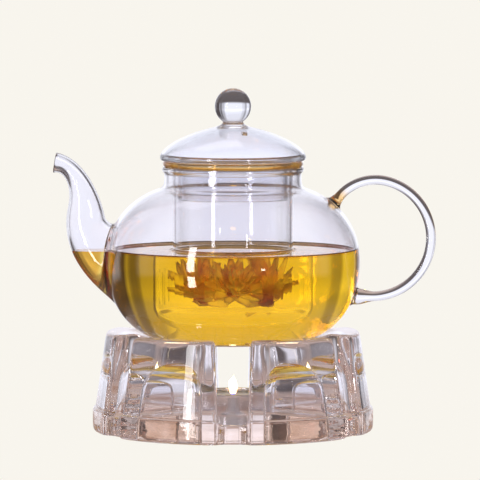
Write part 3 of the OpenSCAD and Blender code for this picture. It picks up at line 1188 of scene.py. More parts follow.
@dataclass
class Tealight:
    """The tealight: a metal cup with a rolled rim, wax with a melted pool, a wick and a flame."""

    cup_radius: float = 18.98
    cup_low: float = 8.5
    cup_high: float = 19.98
    metal: float = 0.55
    roll: float = 0.42
    wax_high: float = 18.0
    pool_depth: float = 0.9
    tab_radius: float = 6.0
    wick_radius: float = 0.8
    wick_high: float = 22.5
    flame_radius: float = 2.1
    flame_high: float = 28.5
    steps: int = 96

    def cup(self) -> bpy.types.Object:
        """Builds the metal cup with its rolled rim and its pressed floor.

        Returns:
            The cup.
        """
        out, low, high, wall = self.cup_radius, self.cup_low, self.cup_high, self.metal
        inner = out - wall
        roll_z = high - self.roll
        outline = [(0.0, low + 0.3), (9.0, low + 0.3), (9.6, low), (out - 1.6, low)]
        outline += arc((out - 1.6, low + 1.2), 1.2, -90, 0, 4)[1:]
        outline += straight((out - 0.4, low + 1.2), (out - 0.25, roll_z - 1.2), 4)
        outline += arc((out - self.roll, roll_z), self.roll, -50, 180, 10)
        outline += [(inner - 0.3, roll_z - 0.5)]
        outline += straight((inner - 0.3, roll_z - 0.5), (inner - 0.3, low + 1.7), 4)
        outline += [(inner - 1.0, low + 0.85), (9.6, low + 0.8), (9.0, low + 0.95),
                    (0.0, low + 0.95)]
        return shaded(turned("tealight_cup_metal", outline, self.steps), 40)

    def wax(self) -> bpy.types.Object:
        """Builds the wax with its pool and the raised edge that clings to the cup.

        Returns:
            The wax.
        """
        out = self.cup_radius - self.metal - 0.75
        high = self.wax_high
        low = self.cup_low + 1.0
        bottom = high - self.pool_depth
        pool = Cubic((11.8, high - 0.15), (10.5, bottom), (7, bottom), (self.wick_radius, bottom))
        outline = [(0.0, low), (out - 1.0, low), (out, low + 1.2), (out, high - 0.2)]
        outline += [(out - 0.1, high + 0.25), (out - 0.6, high + 0.1), (out - 1.6, high)]
        outline += [(13.0, high), *pool.run(8), (0.0, bottom)]
        return shaded(turned("tealight_wax_fill", outline, self.steps), 40)

    def tab(self) -> bpy.types.Object:
        """Builds the metal tab with the collar that holds the wick.

        Returns:
            The tab.
        """
        low = self.cup_low + 1.02
        outline = [(0.0, low), (self.tab_radius - 0.1, low), (self.tab_radius, low + 0.15),
                   (self.tab_radius - 0.2, low + 0.35), (1.9, low + 0.4), (1.5, low + 0.8),
                   (1.4, low + 2.6), (1.2, low + 2.8), (0.0, low + 2.8)]
        return shaded(turned("wick_tab_metal", outline, 48), 40)

    def wick(self) -> bpy.types.Object:
        """Builds the bent wick, thinner where it has burnt.

        Returns:
            The wick.
        """
        low = self.cup_low + 1.5
        line = Cubic((0, low), (0, 16), (0.1, 20.5), (0.75, self.wick_high - 0.35))
        rings = []
        count = 18
        for i in range(count + 1):
            t = i / count
            x, z = line.at(t)
            r = self.wick_radius * (1 - 0.35 * blend_between(0.75, 1.0, t))
            r *= 0.35 if i in (0, count) else 1.0
            ring = []
            for k in range(12):
                a = TURN * k / 12
                twist = 1 + 0.07 * math.sin(3 * a + 9 * t * math.pi)
                ring.append((x + r * twist * math.cos(a), r * twist * math.sin(a), z))
            rings.append(ring)
        wick = lofted("tealight_wick_cotton", rings, capped=True)
        merge_and_face_out(wick)
        return shaded(wick, 60)

    def flame(self) -> bpy.types.Object:
        """Builds the drop-shaped flame round the wick's tip.

        Returns:
            The flame.
        """
        low, high, r = self.wick_high - 4.0, self.flame_high, self.flame_radius
        lower = Cubic((0.95, low), (2.0, low + 0.4), (r, low + 2.2), (r, low + 4.6))
        upper = Cubic((r, low + 4.6), (r, low + 8.2), (0.5, high - 2.6), (0, high))
        outline = [(0.0, low + 0.6), (0.95, low), *lower.run(8), *upper.run(14)]
        flame = turned("tealight_flame", outline, 32)
        for vertex in flame.data.vertices:
            lean = blend_between(low, high, vertex.co.z / MM)
            vertex.co.x += 0.35 * MM * math.sin(2.4 * lean * math.pi) * lean
        return shaded(flame)

    def dress(self) -> None:
        """Builds every piece and gives it its finish."""
        metal = CupMetal().make()
        placed(self.cup(), "tealight", ["tealight_cup"], [metal])
        placed(self.wax(), "tealight", ["tealight_wax"], [CandleWax().make()])
        tab = CupMetal("tinned_tab").make()
        placed(self.tab(), "tealight", ["wick_tab"], [tab])
        placed(self.wick(), "tealight", ["tealight_wick"], [WickCotton().make()])
        placed(self.flame(), "tealight", (), [FlameGlow().make()])


# ---------------------------------------------------------------- pot


class Side(IntEnum):
    """A side of the pot, as the sign of its X."""

    SPOUT = -1
    HANDLE = 1


@dataclass
class Pot:
    """The blown pot: bowl, neck with rolled lip, gooseneck spout and rod handle in one glass."""

    seat: float = 45.5
    glass: float = 2.0
    foot_glass: float = 3.5
    bowl_radius: float = 65.0
    lower: Cubic = Cubic((27, 0), (50, 0), (65, 16.5), (65, 41.5))
    upper: Cubic = Cubic((65, 41.5), (65, 60.5), (53, 73.5), (38, 78.5))
    root: Cubic = Cubic((38, 78.5), (36.2, 79.1), (35, 80.5), (35, 83))
    steps: int = 168

    spout_top: Cubic = Cubic((25.4, 97), (13, 95), (3.5, 79), (0.5, 64))
    spout_top_root: Cubic = Cubic((0.5, 64), (0.3, 63), (-0.5, 61), (-5, 60))
    spout_beak: Cubic = Cubic((27.1, 86.7), (20, 88.5), (17.5, 78), (19.2, 70))
    spout_keel: Cubic = Cubic((19.2, 70), (22.5, 55), (19, 38), (-5, 20))
    spout_width: Cubic = Cubic((5, 0), (4.5, 0), (11, 0), (12.5, 0))
    spout_glass: float = 1.5
    spout_sides: int = 48
    inward: float = 12.0

    rod: float = 2.5
    rod_flare: float = 4.2
    rod_sides: int = 24
    large_centre: Point = (71.3, 98.8)
    large_bend: float = 30.0
    small_bend: float = 24.0
    bend_turn: float = 75.0
    bend_end: float = 140.0
    handle_run: float = 14.0

    tables: dict[float, list[Point]] = field(default_factory=dict)  # outlines kept by their gap

    def wall(self, t: float) -> float:
        """Returns the glass's thickness on the lower curve, thicker towards the foot."""
        return self.glass + (self.foot_glass - self.glass) * max(0.0, 1 - 2 * t)

    def outside(self) -> list[Point]:
        """Returns the bowl's outer outline from the axis to the lip's start, above the foot."""
        foot = [(0.0, 0.25), (8.0, 0.22), (17.0, 0.1), (23.0, 0.0), (27.0, 0.0)]
        return [*foot, *self.lower.run(28), *self.upper.run(28), *self.root.run(8),
                *straight((35, 83), (35, 86), 2)]

    def lining(self, gap: float = 0.0) -> list[Point]:
        """The bowl's inner outline from the axis to the straight neck, above the foot.

        Args:
            gap: How far it stands in from the glass; negative runs into the glass.

        Returns:
            The outline.
        """
        bottom = self.foot_glass + gap
        points = [(0.0, bottom), (10.0, bottom), (20.0, bottom), self.lower.left(0, bottom)]
        points += [self.lower.left(i / 28, self.wall(i / 28) + gap) for i in range(1, 29)]
        points += self.upper.run(28, self.glass + gap)
        points += self.root.run(8, self.glass + gap)
        return points

    def lip(self) -> list[Point]:
        """Returns the rolled lip's outline from the outside to the inside of the neck."""
        return [
            *Cubic((35, 86), (35, 87.3), (36.15, 86.9), (36.15, 88.3)).run(6),
            *Cubic((36.15, 88.3), (36.15, 89.5), (35.6, 89.97), (34.6, 89.97)).run(6),
            *Cubic((34.6, 89.97), (33.6, 89.97), (33, 89.5), (33, 88.4)).run(6),
            *straight((33, 88.4), (33, 83), 3),
        ]

    def radius(self, height: float, gap: float) -> float:
        """The bowl's radius at a height above the foot.

        Args:
            height: Height above the foot.
            gap: How far inside the outer surface.

        Returns:
            The radius in millimetres.
        """
        key = round(gap, 3)
        if key not in self.tables:
            table = [self.lower.left(i / 200, gap) for i in range(201)]
            table += self.upper.run(200, gap) + self.root.run(40, gap)
            self.tables[key] = table
        table = self.tables[key]
        for (r1, z1), (r2, z2) in zip(table, table[1:]):
            if z1 <= height <= z2 and z2 > z1:
                return r1 + (r2 - r1) * (height - z1) / (z2 - z1)
        return table[-1][0]

    def spout_line(self, k: int, s: float, thickness: float) -> Spot:
        """A line along the spout, from its tip into the bowl.

        Args:
            k: Which of the lines.
            s: Place on it: 0 at the tip, 1 at the root, and more inside the bowl.
            thickness: How far inside the outer surface it runs.

        Returns:
            The point, in millimetres.
        """
        t = min(s, 1.0)
        top = (self.spout_top.at(t / 0.6) if t < 0.6 else self.spout_top_root.at((t - 0.6) / 0.4))
        keel = (self.spout_beak.at(t / 0.45) if t < 0.45
                else self.spout_keel.at((t - 0.45) / 0.55))
        half = ((top[0] - keel[0]) / 2, (top[1] - keel[1]) / 2)
        share = 1 - thickness / math.hypot(*half)
        angle = TURN * k / self.spout_sides
        out = (top[0] + keel[0]) / 2 + math.cos(angle) * half[0] * share
        up = (top[1] + keel[1]) / 2 + math.cos(angle) * half[1] * share
        wide = math.sin(angle) * (self.spout_width.at(t)[0] - thickness)
        return (-(self.bowl_radius + out) + max(0.0, s - 1) * self.inward, wide, self.seat + up)

    def rod_line(self, k: int, s: float) -> Spot:
        """A line along the handle's rod, from inside the bowl below to inside it above.

        Args:
            k: Which of the lines.
            s: Place on it, in millimetres from its start.

        Returns:
            The point, in millimetres.
        """
        spot, way = self.rod_centre(s)
        length = self.rod_length()
        near = min(s, length - s) - self.handle_run * 0.62
        r = self.rod + (self.rod_flare - self.rod) * (1 - blend_between(-2.5, 6.5, near))
        angle = TURN * k / self.rod_sides
        across = math.cos(angle) * r
        return (spot[0] - way[1] * across, math.sin(angle) * r, spot[1] + way[0] * across)

    def rod_length(self) -> float:
        """Returns the length of the handle's middle line."""
        large, small = self.bend_lengths()
        return 2 * self.handle_run + large + small

    def bend_lengths(self) -> Point:
        """Returns the lengths of the large bend and the small one."""
        return (math.radians(self.bend_turn + 90) * self.large_bend,
                math.radians(self.bend_end - self.bend_turn) * self.small_bend)

    def rod_centre(self, s: float) -> tuple[Point, Point]:
        """The handle's middle line.

        Args:
            s: Length along it, in millimetres.

        Returns:
            The point and the direction of travel, both in the XZ plane.
        """
        cx, cz = self.large_centre
        large, small = self.bend_lengths()
        if s < self.handle_run:
            return (cx - self.handle_run + s, cz - self.large_bend), (1.0, 0.0)
        s -= self.handle_run
        if s < large:
            a = math.radians(-90) + s / self.large_bend
            spot = (cx + self.large_bend * math.cos(a), cz + self.large_bend * math.sin(a))
            return spot, (-math.sin(a), math.cos(a))
        s -= large
        turn = math.radians(self.bend_turn)
        shift = self.large_bend - self.small_bend
        sx, sz = cx + shift * math.cos(turn), cz + shift * math.sin(turn)
        a = turn + min(s, small) / self.small_bend
        spot = (sx + self.small_bend * math.cos(a), sz + self.small_bend * math.sin(a))
        way = (-math.sin(a), math.cos(a))
        past = max(0.0, s - small)
        return (spot[0] + way[0] * past, spot[1] + way[1] * past), way

    def crossing(self, line: Callable[[float], Spot], outer: float, inner: float,
                 gap: float) -> float:
        """Where a line passes into the bowl's skin.

        Args:
            line: The line, as a function of the place on it.
            outer: A place on it outside the skin.
            inner: A place on it inside the skin.
            gap: How far the skin is inside the outer surface.

        Returns:
            The place of the crossing.
        """
        for _ in range(40):
            middle = (outer + inner) / 2
            x, y, z = line(middle)
            if math.hypot(x, y) > self.radius(z - self.seat, gap):
                outer = middle
            else:
                inner = middle
        return (outer + inner) / 2

    def on_skin(self, y: float, z: float, side: Side, gap: float) -> Spot:
        """Returns the point of the bowl's skin at a place seen along X."""
        r = self.radius(z - self.seat, gap)
        return (side * math.sqrt(max(0.0, r * r - y * y)), y, z)

    def fillet(self, lines: list[Callable[[float], Spot]], outer: float, inner: float, side: Side,
               gap: float, reach: float, back: float,
               rows: int) -> tuple[list[list[Spot]], list[float]]:
        """A rounded foot where a branch meets the bowl's skin.

        Args:
            lines: Lines along the branch, as functions of the place on them.
            outer: A place on each line outside the skin.
            inner: A place on each line inside the skin.
            side: The side that the branch is on.
            gap: How far the skin is inside the outer surface.
            reach: How far the foot spreads on the skin.
            back: How far it reaches along the branch, in the lines' own measure.
            rows: Number of rows.

        Returns:
            The rows from the branch outwards, and the place on each line where the foot starts.
        """
        crossings = [self.crossing(line, outer, inner, gap) for line in lines]
        spots = [line(s) for line, s in zip(lines, crossings)]
        centre = Vector((sum(p[1] for p in spots), sum(p[2] for p in spots))) / len(spots)
        sign = 1 if inner > outer else -1
        starts = [s - sign * back for s in crossings]
        columns = []
        for line, start, spot in zip(lines, starts, spots):
            away = (Vector(spot[1:]) - centre).normalized() * reach
            end = Vector(self.on_skin(spot[1] + away.x, spot[2] + away.y, side, gap))
            first, turn = Vector(line(start)), Vector(spot)
            column = []
            for i in range(1, rows + 1):
                t = i / rows
                column.append(first * (1 - t) ** 2 + turn * 2 * t * (1 - t) + end * t * t)
            columns.append(column)
        return [[tuple(column[i]) for column in columns] for i in range(rows)], starts

    def spout(self) -> tuple[bpy.types.Object, list[Point], list[Point]]:
        """Builds the spout as one tube with a round tip and rounded feet inside and outside.

        Returns:
            The tube, and its outer and inner feet as seen along X.
        """
        outer_lines = [lambda s, k=k: self.spout_line(k, s, 0.0) for k in range(self.spout_sides)]
        inner_lines = [lambda s, k=k: self.spout_line(k, s, self.spout_glass)
                       for k in range(self.spout_sides)]
        outer_foot, outer_from = self.fillet(
            outer_lines, outer=0.35, inner=2.0, side=Side.SPOUT, gap=0.0, reach=3.2, back=0.045,
            rows=6)
        inner_foot, inner_from = self.fillet(
            inner_lines, outer=0.35, inner=2.2, side=Side.SPOUT, gap=self.glass, reach=2.2,
            back=0.035, rows=5)
        along = 34
        rings = list(reversed(inner_foot))
        for i in range(along, 0, -1):
            rings.append([line(s * i / along) for line, s in zip(inner_lines, inner_from)])
        lip = self.spout_glass / 2
        for angle in (0, 40, 70, 90, 110, 140, 180):
            swing = math.radians(angle)
            ring = []
            for k in range(self.spout_sides):
                x, y, z = self.spout_line(k, 0.0, lip + lip * math.cos(swing))
                ring.append((x + 0.6 * lip * (1 - math.sin(swing)) + 0.02, y, z))
            rings.append(ring)
        for i in range(1, along + 1):
            rings.append([line(s * i / along) for line, s in zip(outer_lines, outer_from)])
        rings += outer_foot
        tube = lofted("spout_tube", rings)
        return tube, [p[1:] for p in outer_foot[-1]], [p[1:] for p in inner_foot[-1]]

    def handle(self) -> tuple[bpy.types.Object, list[Point], list[Point]]:
        """Builds the handle's rod with flared, rounded ends.

        Returns:
            The rod, and its lower and upper feet as seen along X.
        """
        lines = [lambda s, k=k: self.rod_line(k, s) for k in range(self.rod_sides)]
        length = self.rod_length()
        foot = {"side": Side.HANDLE, "gap": 0.0, "reach": 1.8, "back": 1.8, "rows": 5}
        low, low_from = self.fillet(lines, self.handle_run, 0.0, **foot)
        high, high_from = self.fillet(lines, length - self.handle_run, length, **foot)
        rings = list(reversed(low))
        along = 84
        for i in range(along + 1):
            t = i / along
            rings.append([line(a + (b - a) * t) for line, a, b in zip(lines, low_from, high_from)])
        rings += high
        rod = lofted("handle_rod", rings)
        return rod, [p[1:] for p in low[-1]], [p[1:] for p in high[-1]]

    def open_skin(self, body: bpy.types.Object, foot: list[Point], side: Side, outer: bool,
                  spread: float) -> None:
        """Takes away the skin's faces under the foot of a branch.

        Args:
            body: The bowl.
            foot: The foot's outline as seen along X.
            side: The side that the branch is on.
            outer: Whether the outer skin is opened, or the inner one.
            spread: How far past the foot the hole reaches, in millimetres.
        """
        cy = sum(p[0] for p in foot) / len(foot)
        cz = sum(p[1] for p in foot) / len(foot)
        wide = []
        for y, z in foot:
            away = Vector((y - cy, z - cz))
            away *= 1 + spread / away.length
            wide.append((cy + away.x, cz + away.y))

        def under(vertex: bmesh.types.BMVert) -> bool:
            """Tells whether a vertex lies under the foot."""
            x, y, z = (c / MM for c in vertex.co)
            if x * side < 20:
                return False
            skin = self.radius(z - self.seat, self.glass / 2)
            return (math.hypot(x, y) > skin) == outer and inside(wide, (y, z))

        with editing(body):
            choose(body, "VERT", under)
            bpy.ops.mesh.delete(type="VERT")

    def close_seam(self, body: bpy.types.Object, side: Side, low: float, high: float,
                   outer: bool) -> None:
        """Bridges the gap between a branch's foot and the hole in the skin.

        Args:
            body: The bowl with the branch joined to it.
            side: The side that the branch is on.
            low: Lowest height of the seam, in millimetres.
            high: Its greatest height.
            outer: Whether the seam is in the outer skin.
        """

        def at_seam(edge: bmesh.types.BMEdge) -> bool:
            """Tells whether an edge belongs to the seam."""
            x, y, z = ((a + b) / 2 / MM for a, b in zip(edge.verts[0].co, edge.verts[1].co))
            skin = self.radius(z - self.seat, self.glass / 2)
            return (edge.is_boundary and x * side > 0 and low < z < high
                    and (math.hypot(x, y) > skin) == outer)

        with editing(body):
            choose(body, "EDGE", at_seam)
            bpy.ops.mesh.bridge_edge_loops()

    def build(self) -> bpy.types.Object:
        """Turns the bowl and neck, and grows the spout and the handle out of it.

        Returns:
            The pot, as one closed skin.
        """
        outline = raised([*self.outside(), *self.lip(), *reversed(self.lining()[:-1])], self.seat)
        body = turned("pot_body", outline, self.steps)
        spout, spout_foot, passage_foot = self.spout()
        rod, low_foot, high_foot = self.handle()
        for foot, side, outer, spread in (
                (spout_foot, Side.SPOUT, True, 1.2), (passage_foot, Side.SPOUT, False, 1.2),
                (low_foot, Side.HANDLE, True, 0.9), (high_foot, Side.HANDLE, True, 0.9)):
            self.open_skin(body, foot, side, outer, spread)
        pot = joined("glass_pot", [spout, rod, body])
        split = (low_foot[0][1] + high_foot[0][1]) / 2
        for side, low, high, outer in (
                (Side.SPOUT, self.seat, self.seat + 80, True),
                (Side.SPOUT, self.seat, self.seat + 80, False),
                (Side.HANDLE, self.seat, split, True),
                (Side.HANDLE, split, self.seat + 84, True)):
            self.close_seam(pot, side, low, high, outer)
        merge_and_face_out(pot)
        return pot

    def dress(self) -> None:
        """Builds the pot and gives it its glass."""
        spot = self.rod_centre(self.rod_length() - self.handle_run * 0.8)[0]
        glass = BlownGlass("blown_glass", tint=(0.995, 0.99, 0.998), shade=(0.972, 0.965, 0.988),
                           waves=38.0, wave_depth=0.00003,
                           weld=(spot[0] * MM, 0.0, spot[1] * MM))
        nodes = ["pot_bowl", "pot_shoulder", "pot_neck", "spout", "handle",
                 "handle_weld_upper", "handle_weld_lower"]
        placed(shaded(self.build()), "pot", nodes, [glass.make()])


# ---------------------------------------------------------------- tea


@dataclass
class Tea:
    """The tea in the bowl and in the foot of the spout, with a meniscus along the glass."""

    pot: Pot
    level: float = 47.0
    into_glass: float = 0.12
    meniscus: float = 1.1
    tube_radius: float = 30.7
    tube_glass: float = 1.4
    steps: int = 168
    spout_side: float = -55.0  # the meniscus is left out past here, where the spout opens
    spout_mouth: float = 13.0  # and nearer than this to the XZ plane

    def outline(self) -> list[Point]:
        """Returns the tea's outline, from the axis below to the axis on its surface."""
        skin = self.pot.lining(-self.into_glass)
        top = self.level + self.meniscus
        side = [p for p in skin if p[1] < top - 0.4]
        edge = self.pot.radius(top, self.pot.glass - self.into_glass)
        surface = [(edge, top)]
        surface += self.curl(edge - 0.25, -1)
        surface += straight((edge - 2.7, self.level), (self.tube_radius + 2.8, self.level), 8)
        surface += list(reversed(self.curl(self.tube_radius + 0.1, 1)))
        inner = self.tube_radius - self.tube_glass
        surface += self.curl(inner - 0.1, -1)
        surface += straight((inner - 2.6, self.level), (0.0, self.level), 7)
        return raised([*side, *surface], self.pot.seat)

    def curl(self, wall: float, way: int) -> list[Point]:
        """Returns the curve of the surface away from a wall, highest at the wall."""
        return [
            (wall + way * x, self.level + self.meniscus * math.exp(-x / 0.75))
            for x in (0.0, 0.3, 0.7, 1.2, 1.8, 2.4)
        ]

    def spout_tea(self) -> bpy.types.Object:
        """Builds the tea in the spout's foot, cut off at the level.

        Returns:
            A closed solid that runs into the bowl's own tea.
        """
        pot = self.pot
        glass = pot.spout_glass - self.into_glass
        lines = [lambda s, k=k: pot.spout_line(k, s, glass) for k in range(pot.spout_sides)]
        feet = [pot.crossing(line, 0.35, 2.2, pot.glass) for line in lines]
        rings = []
        for i in range(33):
            rings.append([line(0.2 + (s - 0.2) * i / 32) for line, s in zip(lines, feet)])
        for past in (0.15, 0.35):
            rings.append([line(s + past) for line, s in zip(lines, feet)])
        tea = lofted("spout_tea", rings, capped=True)
        merge_and_face_out(tea)
        level = (pot.seat + self.level + 0.02) * MM
        with editing(tea):
            bpy.ops.mesh.select_all(action="SELECT")
            bpy.ops.mesh.bisect(plane_co=(0, 0, level), plane_no=(0, 0, 1), use_fill=True,
                                clear_outer=True)
        return tea

    def dress(self, finish: TeaLiquid) -> None:
        """Builds the tea and gives it its colour.

        Args:
            finish: The tea's finish.
        """
        tea = turned("chrysanthemum_tea_fill", self.outline(), self.steps)
        mouth = self.spout_mouth
        level = (self.pot.seat + self.level) * MM
        for vertex in tea.data.vertices:
            x, y, z = vertex.co
            if x < self.spout_side * MM and abs(y) < mouth * MM and z > level:
                share = blend_between(mouth - 4, mouth, abs(y) / MM)
                vertex.co.z = level + (z - level) * share
        combine(tea, self.spout_tea(), Cut.ADD)
        merge_and_face_out(tea)
        placed(shaded(tea, 50), "pot", ["tea"], [finish.make()])


# ---------------------------------------------------------------- infuser


@dataclass
class Infuser:
    """The lift-out glass strainer: a flanged tube with a slitted foot and a closed floor."""

    tube: float = 30.7
    glass: float = 1.4
    rim: float = 35.95
    rim_low: float = 135.5
    rim_high: float = 138.15
    floor: float = 68.0
    bend: float = 3.0
    slit_low: float = 72.0
    slit_high: float = 83.0
    level: float = 92.5
    slits: int = 36
    slit_steps: int = 9  # steps to one slit and the bar beside it

    def outline(self) -> list[Point]:
        """Returns the closed outline of the glass, from the axis below round to the axis."""
        out, inner = self.tube, self.tube - self.glass
        rows = [self.slit_low - 0.5, self.slit_low, *range(74, 83, 2), self.slit_high,
                self.slit_high + 0.5, 88.0, self.level, 100.0, 110.0, 120.0, 130.0]
        half = (self.rim_high - self.rim_low) / 2
        points = [(0.0, self.floor), (10.0, self.floor), (20.0, self.floor)]
        points += arc((out - self.bend, self.floor + self.bend), self.bend, -90, 0, 8)
        points += [(out, z) for z in rows]
        points += [(out, self.rim_low - 0.9), (out + 0.2, self.rim_low - 0.15),
                   (out + 1.0, self.rim_low)]
        points += [(33.0, self.rim_low)]
        points += arc((self.rim - half, self.rim_low + half), half, -90, 90, 10)
        points += [(33.0, self.rim_high), (inner + 1.3, self.rim_high)]
        points += arc((inner + 1.2, self.rim_high - 1.2), 1.2, 90, 180, 5)
        points += [(inner, z) for z in reversed(rows)]
        bend = self.bend - self.glass
        points += arc((out - self.bend, self.floor + self.bend), bend, 0, -90, 8)
        points += [(20.0, self.floor + self.glass), (10.0, self.floor + self.glass),
                   (0.0, self.floor + self.glass)]
        return points

    def build(self) -> bpy.types.Object:
        """Builds one slit and its bar, and copies them round the tube.

        Returns:
            The infuser.
        """
        sweep = TURN / self.slits
        sector = turned("infuser_sector", self.outline(), self.slit_steps, angle=sweep)
        low, high = self.slit_low * MM, self.slit_high * MM
        wall = (self.tube - self.glass / 2) * MM
        near = 1.2 * self.glass * MM
        turn_step = sweep / self.slit_steps

        def angle_of(place: Vector) -> float:
            """Returns the angle of a place from the sector's first side."""
            return abs(math.atan2(place.y, place.x))

        def in_slit(face: bmesh.types.BMFace) -> bool:
            """Tells whether a face is in the way of the slit."""
            centre = face.calc_center_median()
            steps_on = angle_of(centre) / turn_step
            return (low < centre.z < high and 3 < steps_on < 5
                    and abs(math.hypot(centre.x, centre.y) - wall) < near)

        def round_slit(edge: bmesh.types.BMEdge) -> bool:
            """Tells whether an edge is on the rim of the cut."""
            a, b = (angle_of(v.co) / turn_step for v in edge.verts)
            return edge.is_boundary and min(a, b) > 2.5 and max(a, b) < 5.5

        with editing(sector):
            choose(sector, "FACE", in_slit)
            bpy.ops.mesh.delete(type="FACE")
            choose(sector, "EDGE", round_slit)
            bpy.ops.mesh.bridge_edge_loops()
            bpy.ops.mesh.select_mode(type="VERT")
            bpy.ops.mesh.select_all(action="SELECT")
            bpy.ops.mesh.normals_make_consistent(inside=False)
        return round_the_axis("glass_infuser", sector, self.slits)

    def dress(self) -> None:
        """Builds the infuser, with a second glass where it stands in the tea."""
        infuser = shaded(self.build(), 50)
        level = (self.level + 0.01) * MM
        rim_low = (self.rim_low - 1.0) * MM
        for face in infuser.data.polygons:
            z = face.center.z
            face.material_index = 2 if z > rim_low else 1 if z < level else 0
        dry = Glass("infuser_glass", waves=50.0, wave_depth=0.00002)
        wet = Glass("infuser_glass_in_tea", ior=1.015, waves=50.0, wave_depth=0.0)
        rim = Glass("infuser_rim_glass", tint=(0.95, 0.6, 0.18), shade=(0.86, 0.42, 0.07))
        nodes = ["infuser_rim", "infuser_sleeve", "infuser_strainer", "infuser_floor"]
        placed(infuser, "infuser", nodes, [dry.make(), wet.make(), rim.make()])


# ---------------------------------------------------------------- flowers


@dataclass(frozen=True)
class Layer:
    """One ring of petals in a head."""

    share: float  # their length as a share of the head's radius
    width: float
    count: int
    lift: float  # degrees above the flat


LAYERS = (Layer(1.0, 4.6, 12, 2), Layer(0.98, 4.4, 12, 24), Layer(0.94, 4.2, 11, 46),
          Layer(0.86, 3.6, 9, 66), Layer(0.6, 2.8, 6, 82))
PETAL_THICKNESS = 0.22


@dataclass
class Flower:
    """A steeped chrysanthemum head of many curved petals round a small button."""

    centre: Spot
    radius: float
    height: float
    seed: int
    tilt: float = 0.0

    def petal(self, rng: random.Random, length: float, width: float) -> bpy.types.Object:
        """Builds one petal that lies along +X, cupped and curling up at its tip.

        Args:
            rng: The source of small differences.
            length: Its length.
            width: Its width.

        Returns:
            The petal.
        """
        bpy.ops.mesh.primitive_grid_add(x_subdivisions=6, y_subdivisions=2, size=2)
        petal = bpy.context.object
        curl = rng.uniform(0.25, 0.9)
        notch = rng.uniform(0.0, 0.12)
        for vertex in petal.data.vertices:
            u, v = (vertex.co.x + 1) / 2, vertex.co.y
            shape = math.sin(math.pi * min(1.0, 0.12 + 0.86 * u) ** 0.8) ** 0.7
            along = u * (1 - notch * (1 - abs(v)) * blend_between(0.8, 1, u))
            x = length * along
            z = length * 0.42 * curl * along ** 2 + width * 0.22 * v * v * shape
            vertex.co = Vector((x, v * width / 2 * shape, z)) * MM
        return petal

    def dress(self, name: str, material: bpy.types.Material, heart: bpy.types.Material,
              node: str) -> None:
        """Builds the head and gives it its colour.

        Args:
            name: Name of the piece.
            material: The petals' material.
            heart: The button's material.
            node: The CAD node that it stands for.
        """
        rng = random.Random(self.seed)
        petals = []
        for layer in LAYERS:
            for k in range(layer.count):
                length = self.radius * layer.share * rng.uniform(0.86, 1.0)
                petal = self.petal(rng, length, layer.width * rng.uniform(0.8, 1.2))
                pitch = -math.radians(layer.lift + rng.uniform(-9, 9))
                turn = TURN * (k + rng.uniform(-0.3, 0.3)) / layer.count
                roll = rng.uniform(-0.35, 0.35)
                petal.rotation_euler = (roll, pitch, turn)
                petals.append(petal)
        pick(*petals)
        bpy.ops.object.transform_apply(location=True, rotation=True, scale=True)
        head = joined(name, petals)
        modifier = head.modifiers.new("thick", "SOLIDIFY")
        modifier.thickness = PETAL_THICKNESS * MM
        modifier.offset = 0.0
        bpy.ops.object.modifier_apply(modifier=modifier.name)
        button = self.button(rng)
        head.data.materials.append(material)
        button.data.materials.append(heart)
        head = joined(name, [button, head])
        head.rotation_euler = (self.tilt, self.tilt * 0.6, 0)
        settle(head)
        self.fit(head)
        placed(shaded(head), "infuser", [node])

    def button(self, rng: random.Random) -> bpy.types.Object:
        """Builds the small domed heart of the flower.

        Args:
            rng: The source of small differences.

        Returns:
            The button.
        """
        outline = [(0.0, -0.6), (2.4, -0.4), (3.1, 0.6), (2.9, 1.8), (2.0, 2.7), (0.9, 3.1),
                   (0.0, 3.2)]
        button = turned("flower_button", outline, 20)
        for vertex in button.data.vertices:
            vertex.co *= 1 + rng.uniform(-0.07, 0.07)
        return button

    def fit(self, head: bpy.types.Object) -> None:
        """Keeps the head inside the space of its CAD node and moves it there.

        Args:
            head: The head, built round the origin.
        """
        low = min(v.co.z for v in head.data.vertices)
        high = max(v.co.z for v in head.data.vertices)
        scale = self.height * MM / (high - low)
        widest = max(math.hypot(v.co.x, v.co.y) for v in head.data.vertices)
        spread = 1.25 * self.radius * MM / widest
        for vertex in head.data.vertices:
            x, y, z = vertex.co.x * spread, vertex.co.y * spread, vertex.co.z
            flat = math.hypot(x, y)
            most = (self.radius - 0.3) * MM
            pull = min(1.0, most / flat) if flat > 0 else 1.0
            vertex.co = (x * pull + self.centre[0] * MM, y * pull + self.centre[1] * MM,
                         (z - low) * scale + self.centre[2] * MM)


@dataclass
class Flowers:
    """The three flower heads that lie in the infuser."""

    ring: float = 14.4
    radius: float = 12.2
    height: float = 20.0
    floor: float = 69.7
    first: float = -90  # direction of the first head, in degrees
    apart: float = 120
    seed: int = 40
    tilts: Spot = (0.5, -0.35, 0.3)

    def dress(self) -> None:
        """Builds the three heads."""
        petal = Petal("steeped_petal").make()
        heart = Petal("steeped_heart", (0.85, 0.55, 0.15), (0.45, 0.24, 0.05)).make()
        for k, tilt in enumerate(self.tilts):
            angle = math.radians(self.first + self.apart * k)
            centre = (self.ring * math.cos(angle), self.ring * math.sin(angle), self.floor)
            flower = Flower(centre, self.radius, self.height, self.seed + k, tilt)
            flower.dress(f"chrysanthemum_{k + 1}", petal, heart, f"flower_{k + 1}")


# ---------------------------------------------------------------- lid


